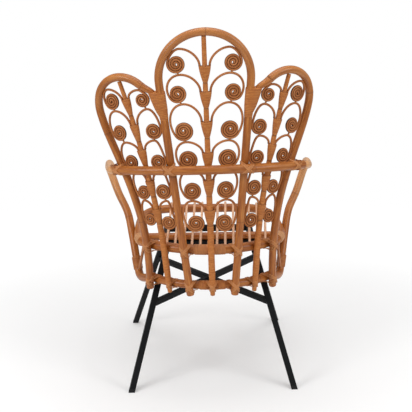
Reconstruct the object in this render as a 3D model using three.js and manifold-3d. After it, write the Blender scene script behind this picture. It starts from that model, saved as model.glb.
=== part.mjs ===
// A peacock chair: a rattan shell of three arches filled with scrolls, on a black steel base.
// Millimetres, +Z up, the sitter faces -Y, and the floor is at zero height.
import * as THREE from "three";
import { mergeVertices } from "three/addons/utils/BufferGeometryUtils.js";
import Module from "manifold-3d";

const wasm = await Module();
wasm.setup();

const { clamp, lerp, degToRad, smoothstep } = THREE.MathUtils;

// Heights that drive the chair.
const seatHeight = 410;
const lowerRailHeight = 300;
const crownTopHeight = 1034;

// How far the poles reach below the lower rail.
const poleFootDrop = 24;
const poleFootHeight = lowerRailHeight - poleFootDrop;

// The back is a leaning cone: its radius at the lower rail, how fast that grows with height,
// how far back its middle stands, how far it leans, and how far the handmade back tips sideways.
const backRadius = 250;
const backFlareShare = 0.34;
const backReach = 238;
const backLeanShare = 0.11;
const sideTiltShare = 0.035;
const tiltStartHeight = 430;
const tiltFullHeight = 560;

// Thicknesses of the rattan.
const poleDiameter = 22;
const armDiameter = 23;
const armRailDiameter = 25;
const lowerRailDiameter = 24;
const seatRingDiameter = 27;
const slatDiameter = 7.5;
const bearerDiameter = 22;
const stemDiameter = 5.8;
const bindingThickness = 2;
const fit = 0.3;

const poleSides = 8;
const ringSides = 10;
const slatSides = 6;
const stemSides = 5;
const bindingSides = 12;
const poleSteps = 14;
const tailSteps = 8;
const crownSteps = 20;
const bindingSteps = 3;
const railSteps = 24;
const ringSteps = 16;
const armSteps = 26;
const turnSteps = 7;
const noseSteps = 4;
const halvings = 24;

// Centre arch, in lengths round the back and heights up it.
const crownRadius = 124.5;
const centreFootReach = 64;

// Side arch: a pole that swings outward, a round lobe, and a tail down the centre arch's leg.
// Its knee and lobe stand at shares of the rise from the lower rail to the crown's top.
const sideFootReach = 201;
const sideKneeReach = 164;
const sideKneeShare = 0.3542;
const sideHipLength = 120;
const lobeReach = 234;
const lobeShare = 0.7207;
const lobeRadius = 85;
const lobeStartDegrees = -12;
const lobeEndDegrees = 127;
const tailEndRise = 15;
const tailEndDiameter = 12;
const tailDepartLength = 46;
const tailArriveLength = 44;
const crownBindingDrop = 14;
const crownBindingFootWidth = 8;

// Spines: bare rod with a funnel of binding under each pair of scrolls. The knee and hip stand at
// shares of the same rise, and the waist is a little over the lower rail.
const spineFootReach = 130;
const spineKneeReach = 140;
const spineKneeShare = 0.2997;
const spineHipReach = 172;
const spineHipShare = 0.545;
const spineTopReach = 240;
const spineFootDiameter = 13;
const spineWaistRise = 45;
const spineWaistDiameter = 19;
const centreSpineTopDiameter = 12.5;
const sideSpineTopDiameter = 11.5;
const funnelLength = 43;
const centreFunnelWidth = 33;
const sideFunnelWidth = 28;
const funnelBellyShare = 0.62;

// Scrolls. Mouth, coil and apex heights are shares of the rise from the lower rail to the top of
// the arch that the scrolls are in, from the top scroll down. A stem lands on its coil that far
// below level, and the coil's middle stands that far out from its spine, where there is room.
const coilDiameter = 55;
const coilEyeDiameter = 12;
const coilGap = 0.9;
const coilSteps = 8;
const leastLandingDegrees = -80;
const riseSteps = 3;
const fallSteps = 4;
const centreApexReachShare = 0.56;
const innerApexReachShare = 0.43;
const outerApexReachShare = 0.66;
const stemBulgeShare = 1.2;
const riseHandleShares = [0.5, 0.5];
const fallHandleShares = [0.5, 0.53];
const leastOverhangShare = 0.9;
const centreApexShare = 0.941;
const innerApexShare = 0.944;
const outerApexShare = 0.94;
const centreMouthShares = [0.876, 0.781, 0.669, 0.55, 0.443, 0.323];
const centreCoilShares = [0.886, 0.776, 0.635, 0.5245, 0.402, 0.27];
const centreCoilSizeShares = [0.94, 0.92, 1, 1.03, 0.97, 0.87];
const centreLandingDegrees = [-25, 35, 35, 35, 35, 35];
const centreCoilOffsets = [77, 75, 63, 55, 47, 38];
const sideMouthShares = [0.9, 0.782, 0.668, 0.524, 0.388];
const innerCoilShares = [0.9, 0.76, 0.617, 0.473, 0.319];
const innerCoilSizeShares = [0.8, 0.88, 0.88, 0.84, 0.76];
const innerLandingDegrees = [-70, -10, -20, -20, -20];
const innerCoilOffsets = [54, 54.1, 41.8, 37.8, 34.1];
const outerCoilShares = [0.887, 0.742, 0.606, 0.466, 0.33];
const outerCoilSizeShares = [0.9, 0.88, 0.86, 0.82, 0.72];
const outerLandingDegrees = [35, 35, 35, 35, 20];
const outerCoilOffsets = [48.4, 57.8, 46.6, 25.9, 22.1];

// Arm rail, arms and lower rail. The rail tips less than the back. The arm's places run from its rail round its front and down
// its post, as shares of the way from the post's foot to the arm's front.
const armRailHeight = 660;
const armRailDrop = 66;
const armRailLevelShare = 0.0214;
const armJointDegrees = 42.5;
const armJointSkewDegrees = 1.5;
const armFrontReach = 298;
const armFrontDepth = -60;
const armFrontHeight = 595;
const armLead = 13;
const armShares = [
  [0.82, -0.68, 1.1],
  [0.94, 0.37, 1.05],
  [1, 1, 1],
  [1.02, 1.26, 0.94],
  [0.94, 1.34, 0.86],
  [0.68, 1.1, 0.67],
  [0.345, 0.79, 0.48],
  [0.18, 0.47, 0.27],
];
const postFootReach = 217;
const postFootDepth = 35;
const postFootRise = 11;
const postSplay = 5;
const postLean = 15;
const postRise = 25;
const postStraight = 24;
const postBindingLength = 38;
const lowerRailDegrees = 50;
const lowerRailLead = 34;
const lowerRailDip = 12;
const lowerRailTurn = 28;

// Seat. The slats are laid a little askew and spread towards the front.
const seatArcDegrees = 46;
const seatFrontDepth = -211;
const seatFrontReach = 90;
const seatSideDepth = 40;
const seatCornerLength = 60;
const seatCornerLead = 20;
const slatCount = 13;
const slatRearPitch = 23.7;
const slatFrontPitch = 24.6;
const slatRearMiddle = -13.4;
const slatFrontMiddle = -37.3;
const slatNose = 22;
const slatSink = 1;
const bearerInset = 4;
const slatCurveShare = 0.6;

// Steel base. The middles of the legs stand at their feet's reach and depth on the floor, and pass
// inside the lower rail at its height.
const tubeWidth = 18;
const tubeWall = 1.5;
const footReach = 235;
const footDepth = 272;
const legPassReach = 148.5;
const legPassDepth = 115.9;
const glideHeight = 10;
const glidePlug = 16;
const stretcherRearHeight = 225;
const stretcherFrontHeight = 272;
const stretcherWidth = 16;
const stretcherInset = 3;
const lapLength = 64;

const rattan = new THREE.MeshStandardMaterial({ color: 0xb9773a, roughness: 0.5, metalness: 0 });
const scrollRattan = new THREE.MeshStandardMaterial({ color: 0x9c5f31, roughness: 0.55, metalness: 0 });
const paleRattan = new THREE.MeshStandardMaterial({ color: 0xd9ad86, roughness: 0.6, metalness: 0 });
const blackSteel = new THREE.MeshStandardMaterial({ color: 0x24272b, roughness: 0.45, metalness: 0.6 });
const blackPlastic = new THREE.MeshStandardMaterial({ color: 0x151515, roughness: 0.6, metalness: 0 });

const chair = new THREE.Group();

function addMesh(name, geometry, material) {
  const mesh = new THREE.Mesh(geometry, material);
  mesh.name = name;
  chair.add(mesh);
}

// The back's mid-surface.

function radiusAt(height) {
  return backRadius + backFlareShare * (height - lowerRailHeight);
}

// A point `reach` round the back from its middle, at `height`, moved outward by `out`.
function onBack(reach, height, out = 0) {
  const radius = radiusAt(height);
  const angle = reach / radius;
  const middle = backReach + backLeanShare * (height - lowerRailHeight);
  const x = (radius + out) * Math.sin(angle);
  const y = middle - radius + (radius + out) * Math.cos(angle);
  const tilt = sideTiltShare * smoothstep(height, tiltStartHeight, tiltFullHeight);
  return new THREE.Vector3(x + sideTiltShare * (height - lowerRailHeight), y, height - tilt * x);
}

// Solids from rings of points.

// Joins rings of points, all wound the same way, into one closed solid.
function loft(rings, closed = false) {
  const sides = rings[0].length;
  const positions = rings.flat().flatMap((point) => point.toArray());
  const faces = [];
  const spans = closed ? rings.length : rings.length - 1;
  for (let i = 0; i < spans; i += 1) {
    const here = i * sides;
    const there = ((i + 1) % rings.length) * sides;
    for (let j = 0; j < sides; j += 1) {
      const next = (j + 1) % sides;
      faces.push(here + j, here + next, there + next, here + j, there + next, there + j);
    }
  }
  const last = (rings.length - 1) * sides;
  for (let j = 1; !closed && j < sides - 1; j += 1) {
    faces.push(0, j + 1, j, last, last + j, last + j + 1);
  }
  const geometry = new THREE.BufferGeometry();
  geometry.setAttribute("position", new THREE.Float32BufferAttribute(positions, 3));
  geometry.setIndex(faces);
  geometry.computeVertexNormals();
  return geometry;
}

// A ring round `centre`, square to `along`, with its first point towards `facing`.
function ringOf(centre, along, facing, depth, width, sides) {
  const first = facing.clone().addScaledVector(along, -facing.dot(along)).normalize();
  const second = new THREE.Vector3().crossVectors(along, first);
  return Array.from({ length: sides }, (_, j) => {
    const angle = (2 * Math.PI * j) / sides;
    return centre.clone()
      .addScaledVector(first, depth * Math.cos(angle))
      .addScaledVector(second, width * Math.sin(angle));
  });
}

// A round rod through points; `facings` sets where each ring's first corner looks. The leads
// are points just before and after the rod, which square its ends to what they meet.
function rod(points, facings, radii, sides, { closed = false, before = [], after = [] } = {}) {
  const count = points.length;
  const longer = closed
    ? [points[count - 1], ...points, points[0]]
    : [before[0] ?? points[0], ...points, after[0] ?? points[count - 1]];
  const rings = points.map((point, i) => {
    const back = i === 0 && before.length ? longer[0] : longer[i];
    const ahead = i === count - 1 && after.length ? longer[count + 1] : longer[i + 2];
    const from = i === count - 1 && after.length ? point : back;
    const to = i === 0 && before.length ? point : ahead;
    const along = to.clone().sub(from).normalize();
    const radius = Array.isArray(radii) ? radii[i] : radii;
    return ringOf(point, along, facings[i], radius, radius, sides);
  });
  return loft(rings, closed);
}

// Points of several curves in a row, without the doubled ends.
function chain(...stretches) {
  return stretches.flatMap(([curve, steps], i) => curve.getPoints(steps).slice(i ? 1 : 0));
}

// A ring round a point of the back, square to `along`, both flat: reach and height.
function ringOnBack(centre, along, depth, width, sides, out = 0) {
  return Array.from({ length: sides }, (_, j) => {
    const angle = (2 * Math.PI * j) / sides;
    const aside = width * Math.sin(angle);
    return onBack(centre.x - along.y * aside, centre.y + along.x * aside, out + depth * Math.cos(angle));
  });
}

// A rod that lies in the back, through flat points. Its first ring is square to `start`.
function rodOnBack(flat, radii, sides, { extra = 0, start } = {}) {
  return loft(flat.map((point, i) => {
    const ahead = flat[Math.min(i + 1, flat.length - 1)];
    const along = ahead.clone().sub(flat[Math.max(i - 1, 0)]).normalize();
    const radius = (Array.isArray(radii) ? radii[i] : radii) + extra;
    return ringOnBack(point, i === 0 && start ? start : along, radius, radius, sides);
  }));
}

// A flat point or direction on the +X side, or its mirror image on the other.
function onSide(side, p) {
  return new THREE.Vector2(side * p.x, p.y);
}

// Booleans, only to cut one piece by another or to join slats to their bearer.

function solidOf(geometry) {
  const bare = mergeVertices(geometry.deleteAttribute("normal").deleteAttribute("uv"));
  return new wasm.Manifold(new wasm.Mesh({
    numProp: 3,
    vertProperties: Float32Array.from(bare.attributes.position.array),
    triVerts: Uint32Array.from(bare.index.array),
  }));
}

function geometryOf(solid) {
  const mesh = solid.getMesh();
  const geometry = new THREE.BufferGeometry();
  geometry.setAttribute("position", new THREE.BufferAttribute(mesh.vertProperties, 3));
  geometry.setIndex(new THREE.BufferAttribute(mesh.triVerts, 1));
  geometry.computeVertexNormals();
  return geometry;
}

function cut(geometry, cutters) {
  return geometryOf(cutters.reduce((left, cutter) => left.subtract(solidOf(cutter)), solidOf(geometry)));
}

// Arches.

const poleRadius = poleDiameter / 2;
const crownHeight = crownTopHeight - crownRadius;

// The height at a share of the rise from the lower rail to the crown's top.
function riseAt(share) {
  return lerp(lowerRailHeight, crownTopHeight, share);
}

const lobeHeight = riseAt(lobeShare);
const tailEndHeight = lobeHeight + tailEndRise;

// Where the straight leg of the centre arch touches its crown, as an angle below level.
function legAngle() {
  const drop = crownHeight - poleFootHeight;
  return Math.atan2(drop, centreFootReach) - Math.acos(crownRadius / Math.hypot(drop, centreFootReach));
}

function centreArchPath() {
  const angle = legAngle();
  const foot = new THREE.Vector2(centreFootReach, poleFootHeight);
  const spring = new THREE.Vector2(
    crownRadius * Math.cos(angle),
    crownHeight - crownRadius * Math.sin(angle),
  );
  const flip = (p) => onSide(-1, p);
  const arc = new THREE.EllipseCurve(0, crownHeight, crownRadius, crownRadius, -angle, Math.PI + angle);
  return chain(
    [new THREE.LineCurve(foot, spring), tailSteps],
    [arc, crownSteps],
    [new THREE.LineCurve(flip(spring), flip(foot)), tailSteps],
  );
}

// How far round the back the centre arch's leg stands at a height.
function legReach(height) {
  return centreFootReach + (height - poleFootHeight) * Math.tan(legAngle());
}

// The side arch as flat points, and its radius at each.
function sideArchPath() {
  const turns = [degToRad(lobeStartDegrees), degToRad(lobeEndDegrees)];
  const [rising, departing] = turns.map((turn) => new THREE.Vector2(-Math.sin(turn), Math.cos(turn)));
  const foot = new THREE.Vector2(sideFootReach, poleFootHeight);
  const knee = new THREE.Vector2(sideKneeReach, riseAt(sideKneeShare));
  const arc = new THREE.EllipseCurve(lobeReach, lobeHeight, lobeRadius, lobeRadius, ...turns);
  const spring = arc.getPoint(0);
  const leave = arc.getPoint(1);
  const endReach = legReach(tailEndHeight) + poleRadius + 2 * fit + tailEndDiameter / 2;
  const end = new THREE.Vector2(endReach, tailEndHeight);
  const tail = new THREE.CubicBezierCurve(
    leave,
    leave.clone().addScaledVector(departing, tailDepartLength),
    end.clone().add(new THREE.Vector2(tailArriveLength * Math.tan(legAngle()), tailArriveLength)),
    end,
  );
  const hip = spring.clone().addScaledVector(rising, -sideHipLength);
  const points = chain(
    [new THREE.CubicBezierCurve(foot, knee, hip, spring), poleSteps],
    [arc, poleSteps],
    [tail, tailSteps],
  );
  const whole = points.length - 1 - tailSteps;
  const radii = points.map((_, i) => (
    lerp(poleRadius, tailEndDiameter / 2, Math.max(i - whole, 0) / tailSteps)
  ));
  return { points, radii };
}

const centreArch = centreArchPath();
const sideArch = sideArchPath();

function centreArchSolid(extra = 0) {
  return rodOnBack(centreArch, poleRadius, poleSides, { extra });
}

// Side +1 is the arch on the +X side. What is extra makes it thicker, and its tail longer.
function sideArchSolid(side, extra = 0) {
  const points = sideArch.points.map((p) => onSide(side, p));
  points[points.length - 1].y -= extra;
  return rodOnBack(points, sideArch.radii, poleSides, { extra });
}

// The inner and outer edges of the binding where a side arch's tail meets the centre arch.
function bindingEdges(height) {
  const clear = fit / Math.cos(Math.PI / poleSides) + bindingThickness;
  const share = (height - tailEndHeight + crownBindingDrop) / funnelLength;
  return {
    inner: legReach(height) - poleRadius - clear,
    outer: legReach(height) + poleRadius + clear + lerp(crownBindingFootWidth, poleDiameter, share) + fit,
  };
}

const bindingHeights = Array.from({ length: bindingSteps + 1 }, (_, i) => (
  tailEndHeight - crownBindingDrop + bindingThickness + (funnelLength * i) / bindingSteps
));

// A sleeve of binding that holds a side arch's tail against the centre arch's leg.
function crownBinding(side) {
  const clear = fit / Math.cos(Math.PI / poleSides);
  const lean = side * legAngle();
  const along = new THREE.Vector2(Math.sin(lean), Math.cos(lean));
  const rings = bindingHeights.map((height) => {
    const { inner, outer } = bindingEdges(height);
    const middle = new THREE.Vector2((side * (inner + outer)) / 2, height);
    const depth = poleRadius + clear + bindingThickness;
    return ringOnBack(middle, along, depth, (outer - inner) / 2, bindingSides);
  });
  return cut(loft(rings), [centreArchSolid(clear), sideArchSolid(side, clear)]);
}

// Spines.

function centreSpinePath(height) {
  return new THREE.Vector2(0, height);
}

// The height just under an arch's round top, for a rod of this diameter at a place beside its middle.
function heightUnder(arch, reach, diameter) {
  return arch.height + Math.sqrt((arch.radius - poleRadius) ** 2 - (reach + diameter / 2) ** 2) - 2 * fit;
}

const crown = { height: crownHeight, radius: crownRadius };
const lobe = { height: lobeHeight, radius: lobeRadius };
const centreSpineTop = heightUnder(crown, 0, centreSpineTopDiameter);
const sideSpineTop = heightUnder(lobe, spineTopReach - lobeReach, sideSpineTopDiameter);

const spineWaistHeight = lowerRailHeight + spineWaistRise;
const spineCurve = new THREE.CubicBezierCurve(
  new THREE.Vector2(spineFootReach, poleFootHeight),
  new THREE.Vector2(spineKneeReach, riseAt(spineKneeShare)),
  new THREE.Vector2(spineHipReach, riseAt(spineHipShare)),
  new THREE.Vector2(spineTopReach, sideSpineTop),
);

// The side spine's reach at a height, found by halving along its curve.
function sideSpinePath(height) {
  let low = 0;
  let high = 1;
  for (let i = 0; i < halvings; i += 1) {
    const middle = (low + high) / 2;
    if (spineCurve.getPoint(middle).y < height) low = middle;
    else high = middle;
  }
  return spineCurve.getPoint((low + high) / 2);
}

// The height at a share of the rise from the lower rail to the top of a spine's arch.
function heightAt(share, { arch }) {
  return lerp(lowerRailHeight, arch.height + arch.radius, share);
}

// How far a spine of this radius stands out of the poles' surface, so that it meets the
// seat ring and lower rail inside it and the arm rail outside it.
function spineOffset(height, radius, topHeight) {
  const play = poleRadius - radius;
  const rising = smoothstep(height, seatHeight, armRailHeight);
  const fading = 1 - smoothstep(height, armRailHeight, topHeight);
  return (2 * rising - 1) * play * fading;
}

// The levels of a spine, from its foot up: its flat place, direction, radius and half width.
function spineLevels(spine) {
  const { path, topHeight, topDiameter, funnelWidth } = spine;
  const rodRadius = (height) => {
    if (height < spineWaistHeight) {
      return lerp(spineFootDiameter, spineWaistDiameter,
        (height - poleFootHeight) / (spineWaistHeight - poleFootHeight)) / 2;
    }
    return lerp(spineWaistDiameter, topDiameter,
      (height - spineWaistHeight) / (topHeight - spineWaistHeight)) / 2;
  };
  const stops = [poleFootHeight, spineWaistHeight, seatHeight].map((height) => [height, 0]);
  for (const mouth of spine.mouths.map((share) => heightAt(share, spine)).reverse()) {
    stops.push([mouth - funnelLength, 0]);
    stops.push([mouth - funnelLength / 2, funnelBellyShare]);
    stops.push([mouth, 1]);
    stops.push([mouth, 0]);
  }
  stops.push([topHeight, 0]);
  return stops.map(([height, flare]) => {
    const radius = rodRadius(height);
    const along = path(height + fit).clone().sub(path(height - fit)).normalize();
    return {
      place: path(height),
      along: height < topHeight ? along : new THREE.Vector2(0, 1),
      depth: radius + (flare * bindingThickness) / 2,
      width: lerp(radius, funnelWidth / 2, flare),
      out: spineOffset(height, radius, topHeight),
    };
  });
}

function spineSolid(side, spine) {
  return loft(spineLevels(spine).map(({ place, along, depth, width, out }) => (
    ringOnBack(onSide(side, place), onSide(side, along), depth, width, poleSides, out)
  )));
}

const centreSpine = {
  path: centreSpinePath,
  arch: crown,
  mouths: centreMouthShares,
  topHeight: centreSpineTop,
  topDiameter: centreSpineTopDiameter,
  funnelWidth: centreFunnelWidth,
};

const sideSpine = {
  path: sideSpinePath,
  arch: lobe,
  mouths: sideMouthShares,
  topHeight: sideSpineTop,
  topDiameter: sideSpineTopDiameter,
  funnelWidth: sideFunnelWidth,
};

// Scrolls.

const stemRadius = stemDiameter / 2;
const coilPitch = stemDiameter + coilGap;

// The stem of a scroll, from its funnel's mouth over `top` and down outside its coil, where it
// lands `turn` below level. `way` is +1 for a scroll that opens away from the middle.
function stemPath(mouth, { centre, coilRadius, way, top, turn, apexReach }) {
  const landing = coilPoint(centre, coilRadius - stemRadius, turn, way);
  const arriving = new THREE.Vector2(-way * Math.sin(turn), -Math.cos(turn));
  const across = new THREE.Vector2(way, 0);
  const bulge = centre.x + way * coilRadius * stemBulgeShare;
  const apex = new THREE.Vector2(lerp(mouth.start.x, bulge, apexReach), top);
  const rise = top - mouth.start.y;
  const span = Math.abs(apex.x - mouth.start.x);
  const fall = top - landing.y;
  const onward = Math.abs(landing.x + way * fall * Math.sin(turn) - apex.x);
  const least = leastOverhangShare * Math.abs(landing.x - apex.x);
  const overhang = fallHandleShares[0] * Math.max(onward, least);
  return chain(
    [new THREE.CubicBezierCurve(
      mouth.start,
      mouth.start.clone().addScaledVector(mouth.along, riseHandleShares[0] * rise),
      apex.clone().addScaledVector(across, -riseHandleShares[1] * span),
      apex,
    ), riseSteps],
    [new THREE.CubicBezierCurve(
      apex,
      apex.clone().addScaledVector(across, overhang),
      landing.clone().addScaledVector(arriving, -fallHandleShares[1] * fall),
      landing,
    ), fallSteps],
  );
}

// A point of a coil's turns, `turn` round from level, downward first.
function coilPoint(centre, radius, turn, way) {
  return new THREE.Vector2(centre.x + way * radius * Math.cos(turn), centre.y - radius * Math.sin(turn));
}

// The coil of a scroll, from where its stem lands down and round to its eye.
function coilPath({ centre, coilRadius, way, turn }) {
  const outer = coilRadius - stemRadius;
  const turns = (outer - coilEyeDiameter / 2) / coilPitch;
  return Array.from({ length: Math.round(turns * coilSteps) }, (_, i) => {
    const share = (i + 1) / coilSteps;
    return coilPoint(centre, outer - coilPitch * share, turn + 2 * Math.PI * share, way);
  });
}

// Flat points with the middle of each step between them.
function withMiddles(flat) {
  return flat.flatMap((p, i) => (i ? [p.clone().add(flat[i - 1]).divideScalar(2), p] : [p]));
}

// The least distance from flat points to the surface of an obstacle.
function clearance(flat, { points, radii }) {
  let least = Infinity;
  points.slice(1).forEach((to, i) => {
    const from = points[i];
    const step = to.clone().sub(from);
    flat.forEach((p) => {
      const share = clamp(p.clone().sub(from).dot(step) / (step.lengthSq() || 1), 0, 1);
      const radius = lerp(radii[i], radii[i + 1], share);
      least = Math.min(least, p.distanceTo(from.clone().addScaledVector(step, share)) - radius);
    });
  });
  return least;
}

// The last value between `good` and `bad` that still passes a test, by halving.
function lastGood(good, bad, passes) {
  let near = good;
  let far = bad;
  for (let i = 0; i < halvings; i += 1) {
    const middle = (near + far) / 2;
    if (passes(middle)) near = middle;
    else far = middle;
  }
  return near;
}

// A scroll's flat points: its stem bulges out round its coil, and its coil stands out from the
// spine, as far as the poles beside it let them.
function scrollPath(mouth, spine, poles, { height, coilRadius, way, top, landing, offset, apexReach }) {
  const centreAt = (reach) => new THREE.Vector2(reach, height);
  const shapeAt = (reach, turn) => ({ centre: centreAt(reach), coilRadius, way, top, turn, apexReach });
  const pathOf = (shape) => [...stemPath(mouth, shape), ...coilPath(shape)];
  const clears = (flat, obstacles) => obstacles.every((one) => (
    clearance(withMiddles(flat), one) >= stemRadius + fit
  ));
  const middle = spine.path(height).x;
  const levels = spineLevels(spine);
  const body = { points: levels.map(({ place }) => place), radii: levels.map(({ width }) => width) };
  const near = lastGood(middle + way * 2 * coilDiameter, middle, (reach) => (
    clears(coilPath(shapeAt(reach, 0)), [body])
  ));
  const [least, wanted] = [leastLandingDegrees, landing].map((degrees) => degToRad(degrees));
  const turn = lastGood(least, wanted, (at) => clears(pathOf(shapeAt(near, at)), poles));
  const wish = way * Math.max(way * (middle + way * offset), way * near);
  const reach = lastGood(near, wish, (at) => clears(pathOf(shapeAt(at, turn)), poles));
  return pathOf(shapeAt(reach, turn));
}

let leastCoilGap = Infinity;

// The least gap between parts of one scroll that are over half a turn apart.
function measureGap(points) {
  points.forEach((a, i) => {
    points.slice(i + coilSteps / 2 + 1).forEach((b) => {
      leastCoilGap = Math.min(leastCoilGap, a.distanceTo(b) - stemDiameter);
    });
  });
}

// Where a stem leaves a funnel's mouth.
function mouthOf(spine, i, way) {
  const { path, funnelWidth } = spine;
  const height = heightAt(spine.mouths[i], spine);
  const along = path(height + fit).clone().sub(path(height - fit)).normalize();
  const across = new THREE.Vector2(along.y, -along.x);
  const start = path(height).clone()
    .addScaledVector(across, way * (funnelWidth / 2 - stemRadius - fit))
    .addScaledVector(along, fit);
  return { start, along };
}

// A column of scrolls down one side of a spine, each under the coil of the one above.
function addColumn(name, side, column) {
  const { spine, way, coils, sizes, landings, offsets, apex, apexReach, poles } = column;
  let top = heightAt(apex, spine);
  coils.forEach((coilShare, i) => {
    const mouth = mouthOf(spine, i, way);
    const height = heightAt(coilShare, spine);
    const coilRadius = (coilDiameter / 2) * sizes[i];
    const [landing, offset] = [landings[i], offsets[i]];
    const shape = { height, coilRadius, way, top, landing, offset, apexReach };
    const flat = scrollPath(mouth, spine, poles, shape).map((p) => onSide(side, p));
    measureGap(flat.map((p) => onBack(p.x, p.y)));
    const start = onSide(side, mouth.along);
    addMesh(`${name}_${i + 1}`, rodOnBack(flat, stemRadius, stemSides, { start }), scrollRattan);
    top = height - coilRadius - fit - stemRadius;
  });
}

// Rails.

const armRadius = armDiameter / 2;
const armRailRadius = armRailDiameter / 2;
const lowerRailRadius = lowerRailDiameter / 2;

function armRailPoint(angle) {
  const level = armRailHeight - armRailDrop * (1 - Math.cos(angle));
  const height = level + armRailLevelShare * radiusAt(level) * Math.sin(angle);
  return onBack(radiusAt(height) * angle, height, poleRadius + armRailRadius + fit);
}

function arcAngles(from, to, steps) {
  return Array.from({ length: steps + 1 }, (_, i) => lerp(from, to, i / steps));
}

// The direction from the chair's upright middle line towards a point.
function fromMiddle(point) {
  return new THREE.Vector3(point.x, point.y - (backReach - backRadius), 0).normalize();
}

// How far round the arm rail ends on a side, where the arm joins it.
function jointAngle(side) {
  return side * degToRad(armJointDegrees - side * armJointSkewDegrees);
}

function armRailSolid() {
  const [right, left] = [jointAngle(-1), jointAngle(1)];
  const points = arcAngles(right, left, railSteps).map(armRailPoint);
  const before = [armRailPoint(right - degToRad(1))];
  const after = [armRailPoint(left + degToRad(1))];
  return rod(points, points.map(fromMiddle), armRailRadius, ringSides, { before, after });
}

// The foot of an arm's post, and the way the post runs up from it.
function postFoot(side) {
  return new THREE.Vector3(side * postFootReach, postFootDepth, lowerRailHeight + postFootRise);
}

function postDirection(side) {
  return new THREE.Vector3(side * postSplay, -postLean, postRise).normalize();
}

function armPath(side) {
  const joint = armRailPoint(jointAngle(side));
  const along = armRailPoint(jointAngle(side) + side * degToRad(1)).sub(joint).normalize();
  const foot = postFoot(side);
  const front = new THREE.Vector3(side * armFrontReach, armFrontDepth, armFrontHeight);
  const up = postDirection(side);
  const places = armShares.map(([across, forward, rise]) => new THREE.Vector3(
    lerp(foot.x, front.x, across),
    lerp(foot.y, front.y, forward),
    lerp(foot.z, front.z, rise),
  ));
  return new THREE.CatmullRomCurve3([
    joint.clone().addScaledVector(along, fit),
    joint.clone().addScaledVector(along, armLead),
    ...places,
    foot.clone().addScaledVector(up, postStraight),
    foot.clone().addScaledVector(up, fit / 2),
  ]).getPoints(armSteps);
}

function armSolid(side) {
  const points = armPath(side);
  const onward = armRailPoint(jointAngle(side) + side * degToRad(1));
  const before = [points[0].clone().add(armRailPoint(jointAngle(side))).sub(onward)];
  return rod(points, points.map(fromMiddle), armRadius, ringSides, { before });
}

function lowerRailPath() {
  const half = degToRad(lowerRailDegrees);
  const inset = -(poleRadius + lowerRailRadius + fit);
  const at = (angle) => onBack(radiusAt(lowerRailHeight) * angle, lowerRailHeight, inset);
  const arc = arcAngles(-half, half, railSteps).map(at);
  const turnUp = (side) => {
    const end = at(side * half);
    const along = end.clone().sub(at(side * (half - degToRad(1)))).normalize();
    const foot = postFoot(side);
    const up = postDirection(side);
    const low = foot.clone().addScaledVector(up, -postStraight);
    return chain(
      [new THREE.CubicBezierCurve3(
        end,
        end.clone().addScaledVector(along, lowerRailLead).add(new THREE.Vector3(0, 0, -lowerRailDip)),
        low.clone().addScaledVector(up, -lowerRailTurn),
        low,
      ), turnSteps],
      [new THREE.LineCurve3(low, foot.clone().addScaledVector(up, -fit / 2)), 1],
    ).slice(1);
  };
  return [...turnUp(-1).reverse(), ...arc, ...turnUp(1)];
}

function lowerRailSolid() {
  const points = lowerRailPath();
  return rod(points, points.map(fromMiddle), lowerRailRadius, ringSides);
}

// A sleeve of binding round the joint between a post and the lower rail.
function postBinding(side) {
  const bore = (Math.max(armRadius, lowerRailRadius) + fit) / Math.cos(Math.PI / bindingSides);
  const half = postBindingLength / 2;
  const profile = [
    new THREE.Vector2(bore, -half),
    new THREE.Vector2(bore + bindingThickness, -half),
    new THREE.Vector2(bore + bindingThickness, half),
    new THREE.Vector2(bore, half),
    new THREE.Vector2(bore, -half),
  ];
  const geometry = new THREE.LatheGeometry(profile, bindingSides);
  const turn = new THREE.Quaternion().setFromUnitVectors(new THREE.Vector3(0, 1, 0), postDirection(side));
  return geometry.applyQuaternion(turn).translate(...postFoot(side).toArray());
}

// Seat.

const ringRadius = seatRingDiameter / 2;
const slatRadius = slatDiameter / 2;
const slatHeight = seatHeight + ringRadius - slatRadius - 2 * slatSink;
const bearerHeight = slatHeight - slatRadius - bearerDiameter / 2 + slatSink;
const frameTop = bearerHeight - bearerDiameter / 2 - fit;
const frameUnder = frameTop - tubeWidth;

// Where the line from a leg's foot past the lower rail comes to the top frame's underside.
function frameAt(foot, pass) {
  return lerp(foot, pass, frameUnder / lowerRailHeight);
}

const frameReach = frameAt(footReach, legPassReach);
const frameHalfDepth = frameAt(footDepth, legPassDepth);
const bearerDepth = frameHalfDepth - bearerInset;

// How far out the seat ring's side stands, so that it just clears the posts.
function seatReach() {
  const post = armPath(1);
  const i = post.findLastIndex((p) => p.z > seatHeight);
  const share = (post[i].z - seatHeight) / (post[i].z - post[i + 1].z);
  const here = post[i].clone().lerp(post[i + 1], share);
  const fall = post[i + 1].clone().sub(post[i]);
  const lean = Math.cos(Math.atan2(fall.x, fall.z));
  return here.x - (armRadius + ringRadius + fit) / Math.abs(lean);
}

function seatRingPath() {
  const half = degToRad(seatArcDegrees);
  const inset = -(poleRadius + ringRadius + fit);
  const at = (angle) => onBack(radiusAt(seatHeight) * angle, seatHeight, inset);
  const reach = seatReach();
  const sideRun = (side) => {
    const end = at(side * half);
    const along = end.clone().sub(at(side * (half - degToRad(1)))).normalize();
    const place = (x, y) => new THREE.Vector3(side * x, y, seatHeight);
    return chain(
      [new THREE.CubicBezierCurve3(
        end,
        end.clone().addScaledVector(along, seatCornerLead),
        place(reach, seatSideDepth + seatCornerLength),
        place(reach, seatSideDepth),
      ), 4],
      [new THREE.CubicBezierCurve3(
        place(reach, seatSideDepth),
        place(reach, seatFrontDepth + seatCornerLength),
        place(reach - seatCornerLead, seatFrontDepth),
        place(seatFrontReach, seatFrontDepth),
      ), 10],
    ).slice(1);
  };
  return [...arcAngles(-half, half, ringSteps).map(at), ...sideRun(1), ...sideRun(-1).reverse()];
}

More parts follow.
